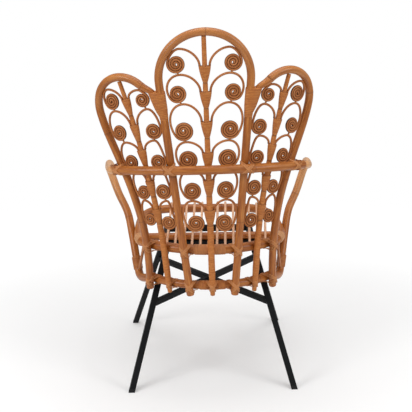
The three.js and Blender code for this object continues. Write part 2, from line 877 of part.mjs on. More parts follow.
function seatRingSolid(extra = 0) {
  const points = seatRingPath();
  return rod(points, points.map(fromMiddle), ringRadius + extra, poleSides, { closed: true });
}

// The seat ring's depth at a place across the chair, at its front or its rear.
function ringDepth(x, wantFront) {
  const points = seatRingPath();
  for (let i = 0; i < points.length; i += 1) {
    const a = points[i];
    const b = points[(i + 1) % points.length];
    const share = (x - a.x) / (b.x - a.x);
    const depth = lerp(a.y, b.y, share);
    if (share >= 0 && share <= 1 && depth < 0 === wantFront) return depth;
  }
  throw new Error("no part of the seat ring crosses there");
}

// A slat runs forward under the sitter, over the front of the ring and down its nose.
function slatSolid(rearReach, frontReach) {
  const rear = ringDepth(rearReach, false);
  const front = ringDepth(frontReach, true);
  const place = (y, z) => (
    new THREE.Vector3(lerp(rearReach, frontReach, (rear - y) / (rear - front)), y, z)
  );
  const over = ringRadius + slatRadius + fit;
  const noseAngle = slatNose / over;
  const nose = Array.from({ length: noseSteps + 1 }, (_, i) => {
    const angle = (noseAngle * i) / noseSteps;
    return place(front - over * Math.sin(angle), seatHeight + over * Math.cos(angle));
  });
  const points = chain(
    [new THREE.LineCurve3(place(rear, slatHeight), place(bearerDepth, slatHeight)), 1],
    [new THREE.CubicBezierCurve3(
      place(bearerDepth, slatHeight),
      place(lerp(bearerDepth, front, slatCurveShare), slatHeight),
      place(front + seatRingDiameter, nose[0].z),
      nose[0],
    ), 4],
  );
  const path = [...points, ...nose.slice(1)];
  return rod(path, path.map(() => new THREE.Vector3(1, 0, 0)), slatRadius, slatSides);
}

// All slats, joined to the cross bearer under them and coped to the ring round them.
function slatDeck() {
  const reach = seatReach();
  const ends = [-1, 1].map((side) => new THREE.Vector3(side * reach, bearerDepth, bearerHeight));
  const bearer = rod(ends, ends.map(() => new THREE.Vector3(0, 0, 1)), bearerDiameter / 2, poleSides);
  let deck = solidOf(bearer);
  for (let i = 0; i < slatCount; i += 1) {
    const place = i - (slatCount - 1) / 2;
    const rearReach = slatRearMiddle + place * slatRearPitch;
    const frontReach = slatFrontMiddle + place * slatFrontPitch;
    deck = deck.add(solidOf(slatSolid(rearReach, frontReach)));
  }
  return geometryOf(deck.subtract(solidOf(seatRingSolid(fit / Math.cos(Math.PI / poleSides)))));
}

// Steel base.

function frameSolid() {
  const rectangle = (grow) => [[1, 1], [-1, 1], [-1, -1], [1, -1]].map(([x, y]) => new THREE.Vector2(
    x * (frameReach + grow),
    y * (frameHalfDepth + grow),
  ));
  const shape = new THREE.Shape(rectangle(tubeWidth / 2));
  shape.holes.push(new THREE.Path(rectangle(-tubeWidth / 2)));
  return new THREE.ExtrudeGeometry(shape, { depth: tubeWidth, bevelEnabled: false })
    .translate(0, 0, frameUnder);
}

function square(half) {
  return [[1, 1], [-1, 1], [-1, -1], [1, -1]].map(([x, y]) => new THREE.Vector2(x * half, y * half));
}

// The middle of a leg at a height; side and end are +1 or -1.
function legMiddle(side, end, height) {
  const share = height / frameUnder;
  return new THREE.Vector3(
    side * lerp(footReach, frameReach, share),
    end * lerp(footDepth, frameHalfDepth, share),
    height,
  );
}

// A square upright of given levels and half widths that follows a leg's slope.
function legLoft(side, end, levels) {
  return loft(levels.map(([height, half]) => {
    const middle = legMiddle(side, end, height);
    return square(half).map((p) => new THREE.Vector3(p.x, p.y, 0).add(middle));
  }));
}

function legSolid(side, end) {
  const shape = new THREE.Shape(square(tubeWidth / 2));
  shape.holes.push(new THREE.Path(square(tubeWidth / 2 - tubeWall)));
  const length = frameUnder - fit - glideHeight;
  const low = legMiddle(side, end, glideHeight);
  const slope = legMiddle(side, end, frameUnder).sub(low).divideScalar(frameUnder - glideHeight);
  return new THREE.ExtrudeGeometry(shape, { depth: length, bevelEnabled: false })
    .applyMatrix4(new THREE.Matrix4().makeShear(0, 0, 0, 0, slope.x, slope.y))
    .translate(low.x, low.y, low.z);
}

function glideSolid(side, end) {
  const outer = tubeWidth / 2;
  const inner = outer - tubeWall - fit;
  const shoulder = glideHeight - fit;
  const levels = [[0, outer], [shoulder, outer], [shoulder, inner], [glideHeight + glidePlug, inner]];
  return legLoft(side, end, levels);
}

// Where the middle of a diagonal bar meets a rear or front leg.
function stretcherEnd(side, end) {
  return legMiddle(side, end, end > 0 ? stretcherRearHeight : stretcherFrontHeight);
}

// How far round from +X a diagonal bar points, seen from above.
function stretcherTurn(side) {
  const run = stretcherEnd(-side, -1).sub(stretcherEnd(side, 1));
  return Math.atan2(run.y, run.x);
}

// A diagonal bar that rises from the rear leg on one side to the front leg on the other.
function stretcherBar(side) {
  const from = stretcherEnd(side, 1);
  const to = stretcherEnd(-side, -1);
  const middle = from.clone().add(to).divideScalar(2);
  const run = Math.hypot(to.x - from.x, to.y - from.y);
  const length = from.distanceTo(to) - 2 * stretcherInset;
  return new THREE.BoxGeometry(length, stretcherWidth, stretcherWidth)
    .rotateY(-Math.atan2(to.z - from.z, run))
    .rotateZ(stretcherTurn(side))
    .translate(...middle.toArray());
}

// The room for the other bar where the two cross: above this bar's half on one, below on the other.
function lapCutter(side) {
  const rear = stretcherEnd(side, 1);
  const front = stretcherEnd(-side, -1);
  const crossing = rear.clone().lerp(front, rear.x / (rear.x - front.x));
  return new THREE.BoxGeometry(lapLength, stretcherWidth + 2 * fit, 2 * stretcherWidth)
    .rotateZ(stretcherTurn(-side))
    .translate(crossing.x, crossing.y, crossing.z + side * (stretcherWidth - fit / 2));
}

// The two bars are halved into each other where they cross, and meet the legs at their ends.
function stretcherSolid(side) {
  const grown = tubeWidth / 2 + fit;
  const legs = [[side, 1], [-side, -1]].map(([across, end]) => (
    legLoft(across, end, [[0, grown], [frameUnder, grown]])
  ));
  return cut(stretcherBar(side), [lapCutter(side), ...legs]);
}

// Assembly.

const sides = [["left", 1], ["right", -1]];

addMesh("centre_arch", centreArchSolid(), rattan);
for (const [name, side] of sides) {
  addMesh(`${name}_arch`, sideArchSolid(side), rattan);
  addMesh(`${name}_crown_binding`, crownBinding(side), rattan);
}

addMesh("centre_spine", spineSolid(1, centreSpine), rattan);
for (const [name, side] of sides) {
  addMesh(`${name}_spine`, spineSolid(side, sideSpine), rattan);
}

const centrePole = { points: centreArch, radii: centreArch.map(() => poleRadius) };
const bindingEdge = (edge) => ({
  points: bindingHeights.map((height) => new THREE.Vector2(bindingEdges(height)[edge], height)),
  radii: bindingHeights.map(() => 0),
});
for (const [name, side] of sides) {
  addColumn(`scroll_centre_${name}`, side, {
    spine: centreSpine,
    way: 1,
    coils: centreCoilShares,
    sizes: centreCoilSizeShares,
    landings: centreLandingDegrees,
    offsets: centreCoilOffsets,
    apex: centreApexShare,
    apexReach: centreApexReachShare,
    poles: [centrePole, bindingEdge("inner")],
  });
  addColumn(`scroll_${name}_inner`, side, {
    spine: sideSpine,
    way: -1,
    coils: innerCoilShares,
    sizes: innerCoilSizeShares,
    landings: innerLandingDegrees,
    offsets: innerCoilOffsets,
    apex: innerApexShare,
    apexReach: innerApexReachShare,
    poles: [centrePole, sideArch, bindingEdge("outer")],
  });
  addColumn(`scroll_${name}_outer`, side, {
    spine: sideSpine,
    way: 1,
    coils: outerCoilShares,
    sizes: outerCoilSizeShares,
    landings: outerLandingDegrees,
    offsets: outerCoilOffsets,
    apex: outerApexShare,
    apexReach: outerApexReachShare,
    poles: [sideArch],
  });
}
console.log(`least gap of a scroll to itself: ${leastCoilGap.toFixed(2)} mm`);

addMesh("arm_rail", armRailSolid(), rattan);
addMesh("lower_rail", lowerRailSolid(), rattan);
for (const [name, side] of sides) {
  addMesh(`${name}_arm`, armSolid(side), rattan);
  addMesh(`${name}_post_binding`, postBinding(side), rattan);
}

addMesh("seat_ring", seatRingSolid(), rattan);
addMesh("seat_slats", slatDeck(), paleRattan);

addMesh("top_frame", frameSolid(), blackSteel);
for (const [name, side] of sides) {
  for (const [place, end] of [["rear", 1], ["front", -1]]) {
    addMesh(`${place}_${name}_leg`, legSolid(side, end), blackSteel);
    addMesh(`${place}_${name}_glide`, glideSolid(side, end), blackPlastic);
  }
  addMesh(`${name}_rear_stretcher`, stretcherSolid(side), blackSteel);
}

// The origin is on the floor, under the middle of the box round the chair.
const box = new THREE.Box3().setFromObject(chair);
chair.position.set(-(box.min.x + box.max.x) / 2, -(box.min.y + box.max.y) / 2, 0);

export default chair;
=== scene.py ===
import math
import random

import bmesh
import bpy
from mathutils import Matrix, Vector


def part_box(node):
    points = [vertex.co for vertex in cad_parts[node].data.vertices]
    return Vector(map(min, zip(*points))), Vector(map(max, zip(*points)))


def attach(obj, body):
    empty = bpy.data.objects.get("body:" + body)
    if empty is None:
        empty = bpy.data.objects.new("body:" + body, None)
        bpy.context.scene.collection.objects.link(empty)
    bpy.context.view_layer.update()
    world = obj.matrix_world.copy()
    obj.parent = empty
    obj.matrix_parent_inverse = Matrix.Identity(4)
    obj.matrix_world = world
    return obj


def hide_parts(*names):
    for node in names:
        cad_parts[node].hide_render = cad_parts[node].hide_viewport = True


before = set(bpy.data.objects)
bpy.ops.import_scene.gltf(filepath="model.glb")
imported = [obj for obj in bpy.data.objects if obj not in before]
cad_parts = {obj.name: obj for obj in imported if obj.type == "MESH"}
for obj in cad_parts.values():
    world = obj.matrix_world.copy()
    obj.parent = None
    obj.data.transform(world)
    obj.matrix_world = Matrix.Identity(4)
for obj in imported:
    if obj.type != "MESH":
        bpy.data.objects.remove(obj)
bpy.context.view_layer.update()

mm = 0.001

# the drawing's middle line stands over the middle of the top frame
frameLow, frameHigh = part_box("top_frame")
middle = (frameLow + frameHigh) / 2
shift = Vector((middle.x, middle.y, 0))


def span(low, high, share):
    return low + (high - low) * share


def ease(value, low, high):
    share = min(max((value - low) / (high - low), 0), 1)
    return share * share * (3 - 2 * share)


# camera, at the photograph's viewing angle

view = {
    "place": (0.12868, 3.17663, 1.3649),  # metres
    "yaw": -0.039,
    "pitch": 0.2708,
    "roll": -0.004,
    "focalPixels": 1105.2,
    "imagePixels": 412,
    "sensor": 36,
}


def setCamera():
    data = bpy.data.cameras.new("camera")
    data.sensor_width = view["sensor"]
    data.lens = view["focalPixels"] / view["imagePixels"] * view["sensor"]
    yaw, pitch, roll = view["yaw"], view["pitch"], view["roll"]
    level = math.cos(pitch)
    forward = Vector((math.sin(yaw) * level, -math.cos(yaw) * level, -math.sin(pitch)))
    right = forward.cross(Vector((0, 0, 1))).normalized()
    up = right.cross(forward)
    turnedRight = math.cos(roll) * right + math.sin(roll) * up
    turnedUp = -math.sin(roll) * right + math.cos(roll) * up
    pose = Matrix((turnedRight, turnedUp, -forward)).transposed().to_4x4()
    pose.translation = Vector(view["place"])
    camera = bpy.data.objects.new("camera", data)
    bpy.context.scene.collection.objects.link(camera)
    camera.matrix_world = pose
    bpy.context.scene.camera = camera


setCamera()
print("camera set")


# finishes

# a screen colour, as the light it stands for
def colour(red, green, blue):
    def linear(part):
        part = part / 255
        return part / 12.92 if part <= 0.04045 else ((part + 0.055) / 1.055) ** 2.4
    return (linear(red), linear(green), linear(blue), 1)


class Term:
    # a socket that takes part in ordinary sums
    def __init__(self, finish, socket):
        self.finish = finish
        self.socket = socket

    def __add__(self, other):
        return self.finish.maths("ADD", self, other)

    def __radd__(self, other):
        return self.finish.maths("ADD", other, self)

    def __sub__(self, other):
        return self.finish.maths("SUBTRACT", self, other)

    def __rsub__(self, other):
        return self.finish.maths("SUBTRACT", other, self)

    def __mul__(self, other):
        return self.finish.maths("MULTIPLY", self, other)

    def __rmul__(self, other):
        return self.finish.maths("MULTIPLY", other, self)

    def __truediv__(self, other):
        return self.finish.maths("DIVIDE", self, other)

    def __rtruediv__(self, other):
        return self.finish.maths("DIVIDE", other, self)


class Finish:
    # a material, or the world where that list is given
    def __init__(self, name, owners=bpy.data.materials):
        self.owner = owners.new(name)
        self.owner.use_nodes = True
        self.tree = self.owner.node_tree
        self.tree.nodes.clear()

    def add(self, kind, settings=None, sockets=None, output=0):
        node = self.tree.nodes.new(kind)
        for name, value in (settings or {}).items():
            if name == "stops":
                ramp = node.color_ramp
                while len(ramp.elements) < len(value):
                    ramp.elements.new(1)
                for element, (position, tint) in zip(ramp.elements, value):
                    element.position = position
                    element.color = tint
            else:
                setattr(node, name, value)
        for name, value in (sockets or {}).items():
            if isinstance(value, Term):
                self.tree.links.new(value.socket, node.inputs[name])
            else:
                node.inputs[name].default_value = value
        return Term(self, node.outputs[output]) if len(node.outputs) else None

    def maths(self, operation, *values):
        return self.add("ShaderNodeMath", {"operation": operation}, dict(enumerate(values)))

    def limit(self, value):
        return self.add("ShaderNodeClamp", {}, {"Value": value})

    # by their numbers, because a Mix node has sockets of one name for each kind of value
    def blend(self, factor, first, second):
        colours = {0: factor, 6: first, 7: second}
        return self.add("ShaderNodeMix", {"data_type": "RGBA"}, colours, 2)

    def noise(self, vector, scale, detail=2.0, roughness=0.5):
        sockets = {"Vector": vector, "Scale": scale, "Detail": detail, "Roughness": roughness}
        return self.add("ShaderNodeTexNoise", {"noise_dimensions": "3D"}, sockets)

    # dark, main and light shades, by a value between 0 and 1
    def shades(self, look, value):
        stops = list(zip(look["stops"], (look["dark"], look["main"], look["light"])))
        return self.add("ShaderNodeValToRGB", {"stops": stops}, {"Fac": value})

    def grain(self, look, height):
        depth = {"Height": height, "Strength": look["grainStrength"], "Distance": look["grainDepth"]}
        return self.add("ShaderNodeBump", {}, depth)

    def surface(self, sockets):
        shader = self.add("ShaderNodeBsdfPrincipled", {}, sockets)
        self.add("ShaderNodeOutputMaterial", {}, {"Surface": shader})
        return self.owner

    # length along a rod in metres, and the cosine and sine of the turn round it
    def rodPlace(self):
        place = self.add("ShaderNodeUVMap", {"uv_map": "skin"})
        along = self.add("ShaderNodeSeparateXYZ", {}, {"Vector": place})
        turn = Term(self, along.socket.node.outputs[1]) * (2 * math.pi)
        return along, self.maths("COSINE", turn), self.maths("SINE", turn)

    def rodNoise(self, place, length, round, detail=2.0):
        along, cosine, sine = place
        sockets = {"X": along * length, "Y": cosine * round, "Z": sine * round}
        return self.noise(self.add("ShaderNodeCombineXYZ", {}, sockets), 1.0, detail)

    # how dark or how pale the skin was made at a place: dark knots and rings, painted shade in
    # grooves, and paler skin with painted highlight
    def painted(self, name):
        return self.limit(self.add("ShaderNodeAttribute", {"attribute_name": name}, {}, 2))


rattanLook = {
    "dark": colour(130, 65, 14),
    "main": colour(172, 98, 32),
    "light": colour(204, 131, 58),
    "wornAndSheen": colour(196, 138, 88),
    "paleAndHighlight": colour(236, 180, 124),
    "knot": colour(88, 42, 16),
    "stops": (0.3, 0.5, 0.72),
    # noises: how fine along the rod, how fine round it, and how detailed
    "streak": (14, 1.7, 4.0),
    "fibre": (70, 11, 3.0),
    "patch": (11, 0.45, 2.0),
    "fibreShare": 0.3,
    "wornAndSheenFrom": 0.56,
    "wornAndSheenSteepness": 4,
    "wornAndSheenShare": 0.4,
    "paleLeast": 0.6,
    "paleStreaks": 0.6,
    "grainFibre": 0.6,
    "grainStrength": 0.35,
    "grainDepth": 0.0006,
    "roughness": 0.4,
    "roughnessSpread": 0.16,
    "specular": 0.35,
    "coat": 0.3,
    "coatRoughness": 0.18,
}


def rattanFinish(name, look):
    finish = Finish(name)
    place = finish.rodPlace()
    streak = finish.rodNoise(place, *look["streak"])
    fibre = finish.rodNoise(place, *look["fibre"])
    patch = finish.rodNoise(place, *look["patch"])
    base = finish.shades(look, streak * (1 - look["fibreShare"]) + fibre * look["fibreShare"])
    # paler patches at random along the pole: worn varnish and painted sheen
    wornAndSheen = finish.limit((patch - look["wornAndSheenFrom"]) * look["wornAndSheenSteepness"])
    base = finish.blend(wornAndSheen * look["wornAndSheenShare"], base, look["wornAndSheen"])
    # pale: a painted highlight on the upper arches towards the crowns, and on the arms a painted
    # highlight over paler skin
    paleAndHighlightShare = finish.painted("pale") * (look["paleLeast"] + streak * look["paleStreaks"])
    base = finish.blend(paleAndHighlightShare, base, look["paleAndHighlight"])
    base = finish.blend(finish.painted("tone"), base, look["knot"])
    height = fibre * look["grainFibre"] + streak * (1 - look["grainFibre"])
    return finish.surface({
        "Base Color": base,
        "Roughness": look["roughness"] + fibre * look["roughnessSpread"],
        "Normal": finish.grain(look, height),
        "Specular IOR Level": look["specular"],
        "Coat Weight": look["coat"],
        "Coat Roughness": look["coatRoughness"],
    })


bindingLook = {
    "dark": colour(172, 96, 38),
    "main": colour(194, 116, 48),
    "light": colour(210, 138, 68),
    "paleAndHighlight": colour(226, 176, 128),
    "grooveShade": colour(88, 42, 16),
    "stops": (0.32, 0.5, 0.7),
    "strip": (260, 0.7, 2.0),
    "fibre": (900, 2.5, 2.0),
    "fibreShare": 0.25,
    "grainStrength": 0.3,
    "grainDepth": 0.0004,
    "roughness": 0.5,
    "roughnessSpread": 0.15,
}


def bindingFinish(name, look):
    finish = Finish(name)
    place = finish.rodPlace()
    strip = finish.rodNoise(place, *look["strip"])
    fibre = finish.rodNoise(place, *look["fibre"])
    base = finish.shades(look, strip * (1 - look["fibreShare"]) + fibre * look["fibreShare"])
    # pale: paler strips on the lashings and windings
    base = finish.blend(finish.painted("pale"), base, look["paleAndHighlight"])
    # tone: painted shade in the grooves between the turns and at the funnel mouths, and darker joint
    # rings and post bindings
    base = finish.blend(finish.painted("tone"), base, look["grooveShade"])
    return finish.surface({
        "Base Color": base,
        "Roughness": look["roughness"] + fibre * look["roughnessSpread"],
        "Normal": finish.grain(look, fibre),
    })


scrollLook = {
    "dark": colour(142, 80, 40),
    "main": colour(182, 112, 62),
    "light": colour(214, 150, 98),
    "grooveShade": colour(62, 26, 8),
    "stops": (0.3, 0.52, 0.74),
    "streak": (24, 1.3, 3.0),
    "fibre": (160, 6, 3.0),
    "fibreShare": 0.3,
    "shadeSteepness": 2.8,
    "shadeDrop": 1.6,
    "grainStrength": 0.25,
    "grainDepth": 0.0003,
    "roughness": 0.6,
    "roughnessSpread": 0.2,
    "specular": 0.25,
}


def scrollFinish(name, look):
    finish = Finish(name)
    place = finish.rodPlace()
    streak = finish.rodNoise(place, *look["streak"])
    fibre = finish.rodNoise(place, *look["fibre"])
    base = finish.shades(look, streak * (1 - look["fibreShare"]) + fibre * look["fibreShare"])
    # the sides of the turns lie in shade, so the coil shows as rings
    aside = finish.maths("ABSOLUTE", place[2])
    shade = finish.limit(aside * look["shadeSteepness"] - look["shadeDrop"])
    base = finish.blend(shade * finish.painted("tone"), base, look["grooveShade"])
    return finish.surface({
        "Base Color": base,
        "Roughness": look["roughness"] + fibre * look["roughnessSpread"],
        "Normal": finish.grain(look, fibre),
        "Specular IOR Level": look["specular"],
    })


steelLook = {
    "main": colour(6, 7, 9),
    "light": colour(18, 19, 22),
    "cloud": (14, 3.0),
    "pits": (900, 2.0),
    "cloudContrast": 1.6,
    "cloudDrop": 0.4,
    "grainStrength": 0.25,
    "grainDepth": 0.0003,
    "roughness": 0.42,
    "roughnessSpread": 0.15,
    "specular": 0.2,
}


def steelFinish(name, look):
    finish = Finish(name)
    place = finish.add("ShaderNodeTexCoord", output=3)  # the piece's own coordinates
    cloud = finish.noise(place, *look["cloud"])
    pits = finish.noise(place, *look["pits"])
    share = finish.limit(cloud * look["cloudContrast"] - look["cloudDrop"])
    return finish.surface({
        "Base Color": finish.blend(share, look["main"], look["light"]),
        "Roughness": look["roughness"] + cloud * look["roughnessSpread"],
        "Normal": finish.grain(look, pits),
        "Specular IOR Level": look["specular"],
    })


rattan = rattanFinish("rattanSkin", rattanLook)
binding = bindingFinish("rattanBinding", bindingLook)
scrollCane = scrollFinish("scrollCane", scrollLook)
paleCane = rattanFinish("paleCane", {
    **rattanLook,
    "dark": colour(202, 140, 98),
    "main": colour(230, 176, 136),
    "light": colour(244, 204, 170),
    "wornAndSheen": colour(238, 200, 170),
    "paleAndHighlight": colour(240, 214, 188),
    "knot": colour(120, 72, 44),
    "roughness": 0.5,
})
blackSteel = steelFinish("blackSteel", steelLook)
blackPlastic = steelFinish("blackPlastic", {
    **steelLook,
    "main": colour(24, 24, 25),
    "light": colour(34, 34, 36),
    "roughness": 0.6,
})
print("finishes made")


# the back: a leaning cone, measured in millimetres round it and up it

back = {
    "radius": 250,
    "flare": 0.34,
    "reach": 238,
    "lean": 0.11,
    "sideTilt": 0.035,
    "tiltStart": 430,
    "tiltFull": 560,
    "base": 300,  # height of the lower rail
}


def backRadius(height):
    return back["radius"] + back["flare"] * (height - back["base"])


def onBack(reach, height, out=0):
    radius = backRadius(height)
    angle = reach / radius
    centre = back["reach"] + back["lean"] * (height - back["base"])
    x = (radius + out) * math.sin(angle)
    y = centre - radius + (radius + out) * math.cos(angle)
    tilt = back["sideTilt"] * ease(height, back["tiltStart"], back["tiltFull"])
    return Vector((x + back["sideTilt"] * (height - back["base"]), y, height - tilt * x))


def outwardAt(reach, height):
    return onBack(reach, height, 1) - onBack(reach, height)


def flat(x, y):
    return Vector((x, y))


# lines

def line(start, end, step=4):
    count = max(round((end - start).length / step), 1)
    return [start.lerp(end, i / count) for i in range(count + 1)]


def arc(centre, radius, start, end, step=3):
    count = max(round(abs(end - start) * radius / step), 4)
    turns = [span(start, end, i / count) for i in range(count + 1)]
    return [centre + radius * flat(math.cos(turn), math.sin(turn)) for turn in turns]


def bezier(a, b, c, d, count=24):
    points = []
    for i in range(count + 1):
        t = i / count
        s = 1 - t
        points.append(s ** 3 * a + 3 * s * s * t * b + 3 * s * t * t * c + t ** 3 * d)
    return points


def chain(*stretches):
    points = list(stretches[0])
    for stretch in stretches[1:]:
        points += stretch[1:]
    return points


# a smooth line through places in space, as a bent pole lies
def throughPlaces(places, steps=10):
    ends = [2 * places[0] - places[1], *places, 2 * places[-1] - places[-2]]
    points = [places[0]]
    for p0, p1, p2, p3 in zip(ends, ends[1:], ends[2:], ends[3:]):
        d0, d1, d2 = [math.sqrt((q - p).length) for p, q in ((p0, p1), (p1, p2), (p2, p3))]
        t1 = ((p1 - p0) / d0 - (p2 - p0) / (d0 + d1) + (p2 - p1) / d1) * d1
        t2 = ((p2 - p1) / d1 - (p3 - p1) / (d1 + d2) + (p3 - p2) / d2) * d1
        for i in range(1, steps + 1):
            t = i / steps
            points.append(
                (2 * t ** 3 - 3 * t * t + 1) * p1 + (t ** 3 - 2 * t * t + t) * t1
                + (3 * t * t - 2 * t ** 3) * p2 + (t ** 3 - t * t) * t2
            )
    return points


def lengthsAlong(points):
    lengths = [0]
    for a, b in zip(points, points[1:]):
        lengths.append(lengths[-1] + (b - a).length)
    return lengths


# the places on a line at given distances along it
def placesAt(points, distances):
    lengths = lengthsAlong(points)
    places = []
    i = 0
    for distance in distances:
        while i < len(lengths) - 2 and lengths[i + 1] < distance:
            i += 1
        share = (distance - lengths[i]) / ((lengths[i + 1] - lengths[i]) or 1)
        places.append(points[i].lerp(points[i + 1], min(max(share, 0), 1)))
    return places


# sweeps: a round or oval section carried along a line
# each measure may be one value or a list with one for each centre

def sweep(mesh, centres, facings, depths, widths, tones=0, sides=20, closed=False,
          slant=0, start=0, pale=0):
    count = len(centres)

    def pick(value, i):
        return value[i] if isinstance(value, (list, tuple)) else value

    alongLayer = mesh.verts.layers.float["along"]
    roundLayer = mesh.verts.layers.float["round"]
    toneLayer = mesh.verts.layers.float["tone"]
    paleLayer = mesh.verts.layers.float["pale"]
    skin = mesh.loops.layers.uv["skin"]
    first = bmesh.ops.create_circle(mesh, segments=sides, radius=1)["verts"]
    for vert in first:
        vert[roundLayer] = (math.atan2(vert.co.y, vert.co.x) / (2 * math.pi)) % 1
    ring = list(first)
    edges = list(dict.fromkeys(edge for vert in ring for edge in vert.link_edges))
    firstEdges = edges
    pose = Matrix.Identity(4)
    distance = start
    faces = []
    for i in range(count + (1 if closed else 0)):
        here = i % count
        ahead = centres[(i + 1) % count] if closed else centres[min(i + 1, count - 1)]
        behind = centres[(i - 1) % count] if closed else centres[max(i - 1, 0)]
        along = (ahead - behind).normalized()
        facing = pick(facings, here)
        outward = (facing - along * facing.dot(along)).normalized()
        across = along.cross(outward)
        if i:
            distance += (centres[here] - centres[(i - 1) % count]).length
            made = bmesh.ops.extrude_edge_only(mesh, edges=edges)["geom"]
            ring = [item for item in made if isinstance(item, bmesh.types.BMVert)]
            inRing = set(ring)
            edges = [item for item in made if isinstance(item, bmesh.types.BMEdge)
                     and item.verts[0] in inRing and item.verts[1] in inRing]
            faces += [item for item in made if isinstance(item, bmesh.types.BMFace)]
        width = pick(widths, here)
        sideways = (across + along * slant) * width
        columns = (outward * pick(depths, here), sideways, along, centres[here])
        target = Matrix([(*column, 0) for column in columns]).transposed()
        target[3][3] = 1
        bmesh.ops.transform(mesh, matrix=target @ pose.inverted(), verts=ring)
        pose = target
        for vert in ring:
            vert[alongLayer] = distance
            vert[toneLayer] = pick(tones, here)
            vert[paleLayer] = pick(pale, here)
    for face in faces:
        shares = [loop.vert[roundLayer] for loop in face.loops]
        wraps = max(shares) - min(shares) > 0.5
        for loop, share in zip(face.loops, shares):
            turn = share + 1 if wraps and share < 0.5 else share
            loop[skin].uv = (loop.vert[alongLayer] * mm, turn)
        face.smooth = True
    if closed:
        bmesh.ops.remove_doubles(mesh, verts=ring + list(first), dist=0.001)
    else:
        for rim in (firstEdges, edges):
            lid = bmesh.ops.edgeloop_fill(mesh, edges=rim)["faces"]
            for face in lid:
                for loop in face.loops:
                    loop[skin].uv = (loop.vert[alongLayer] * mm, loop.vert[roundLayer])


def newMesh():
    mesh = bmesh.new()
    for name in ("along", "round", "tone", "pale"):
        mesh.verts.layers.float.new(name)
    mesh.loops.layers.uv.new("skin")
    return mesh


# turns a finished bmesh into a piece of the chair, in metres and in its place
def finishPiece(mesh, name, finish, nodes=(), scale=mm):
    bmesh.ops.recalc_face_normals(mesh, faces=mesh.faces)
    bmesh.ops.scale(mesh, vec=(scale, scale, scale), verts=mesh.verts)
    if scale == mm:
        bmesh.ops.translate(mesh, vec=shift, verts=mesh.verts)
    data = bpy.data.meshes.new(name)
    mesh.to_mesh(data)
    mesh.free()
    data.materials.append(finish)
    piece = bpy.data.objects.new(name, data)
    bpy.context.scene.collection.objects.link(piece)
    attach(piece, "root")
    if nodes:
        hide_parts(*nodes)
    return piece


# the knots of a natural pole, and its rounded ends

knotLook = {
    "first": 60,
    "leastGap": 170,
    "mostGap": 310,
    "endClear": 20,
    "rise": 0.022,
    "riseLength": 3,
    "darkness": 0.42,
    "darkLength": 1.5,
    "rounding": 0.08,
    "roundLength": 1.8,
    "marks": (-6, -3, -1.6, -0.8, 0, 0.8, 1.6, 3, 6),
    "endMarks": (0.6, 1.8),
    "skinShift": 370,  # so that each pole shows its own stretch of skin
}

# what each pole's knots and skin are drawn from
seeds = {
    "centreArch": 3,
    "sideArch": 6,
    "armRail": 11,
    "lowerRail": 12,
    "arm": 14,
    "seatRing": 17,
    "slat": 20,
    "bearer": 40,
    "brace": 50,
}


# distances along a pole, closer together round its knots and at its ends
def stations(length, step, knots):
    count = round(length / step)
    marks = {0, length, *[length * i / count for i in range(1, count)]}
    for knot in knots:
        marks |= {knot + offset for offset in knotLook["marks"]}
    for inset in knotLook["endMarks"]:
        marks |= {inset, length - inset}
    return sorted(mark for mark in marks if 0 <= mark <= length)


def knotsFor(length, seed):
    dice = random.Random(seed)
    knots = []
    place = dice.uniform(knotLook["first"], knotLook["mostGap"])
    while place < length - knotLook["endClear"]:
        knots.append(place)
        place += dice.uniform(knotLook["leastGap"], knotLook["mostGap"])
    return knots


# how thick a pole is and how dark its skin is at places along it
def poleSkin(marks, length, knots, radiusOf):
    radii, tones = [], []
    for mark in marks:
        near = min([abs(mark - knot) for knot in knots] or [length])
        endwards = max(1 - min(mark, length - mark) / knotLook["roundLength"], 0)
        swell = 1 + knotLook["rise"] * math.exp(-((near / knotLook["riseLength"]) ** 2))
        swell -= knotLook["rounding"] * endwards ** 2
        radii.append(radiusOf(mark, length) * swell)
        tones.append(knotLook["darkness"] * math.exp(-((near / knotLook["darkLength"]) ** 2)))
    return radii, tones


# a natural pole along a line in space
def pole(mesh, points, facingOf, radiusOf, seed, step=8, sides=20, closed=False, paleOf=None):
    length = lengthsAlong(points)[-1]
    knots = knotsFor(length, seed)
    marks = stations(length, step, knots)
    if closed:
        marks = marks[:-1]
    centres = placesAt(points, marks)
    radii, tones = poleSkin(marks, length, knots, radiusOf)
    pale = [paleOf(centre) if paleOf else 0 for centre in centres]
    facings = [facingOf(centre) for centre in centres]
    start = seed * knotLook["skinShift"]
    sweep(mesh, centres, facings, radii, radii, tones, sides, closed, start=start, pale=pale)


# arches

poles = {
    "diameter": 22,
    "footHeight": 276,
    "crownTop": 1034,
    "crownRadius": 124.5,
    "centreFoot": 64,
    "sideFoot": 201,
    "kneeReach": 164,
    "kneeHeight": 560,
    "hipLength": 120,
    "lobeReach": 234,
    "lobeHeight": 829,
    "lobeRadius": 85,
    "lobeStart": -12,  # degrees
    "lobeEnd": 127,
    "tailEnd": 844,
    "tailDiameter": 12,
    "tailDepart": 46,
    "tailArrive": 44,
    "tailLength": 76,
    "fit": 0.3,
    "outerSteps": 60,
    "step": 8,
    "sides": 20,
    "paleAndHighlightShare": 0.15,
    "highlightRise": (820, 1010),  # heights over which a painted highlight brightens the poles towards the crown tops
}
poleRadius = poles["diameter"] / 2
crownHeight = poles["crownTop"] - poles["crownRadius"]


def legAngle():
    drop = crownHeight - poles["footHeight"]
    reach = poles["centreFoot"]
    return math.atan2(drop, reach) - math.acos(poles["crownRadius"] / math.hypot(drop, reach))


def legReach(height):
    return poles["centreFoot"] + (height - poles["footHeight"]) * math.tan(legAngle())


def centreArchLine():
    angle = legAngle()
    radius = poles["crownRadius"]
    foot = flat(poles["centreFoot"], poles["footHeight"])
    spring = flat(radius * math.cos(angle), crownHeight - radius * math.sin(angle))
    flip = lambda p: flat(-p.x, p.y)
    return chain(
        line(foot, spring),
        arc(flat(0, crownHeight), radius, -angle, math.pi + angle),
        line(flip(spring), flip(foot)),
    )


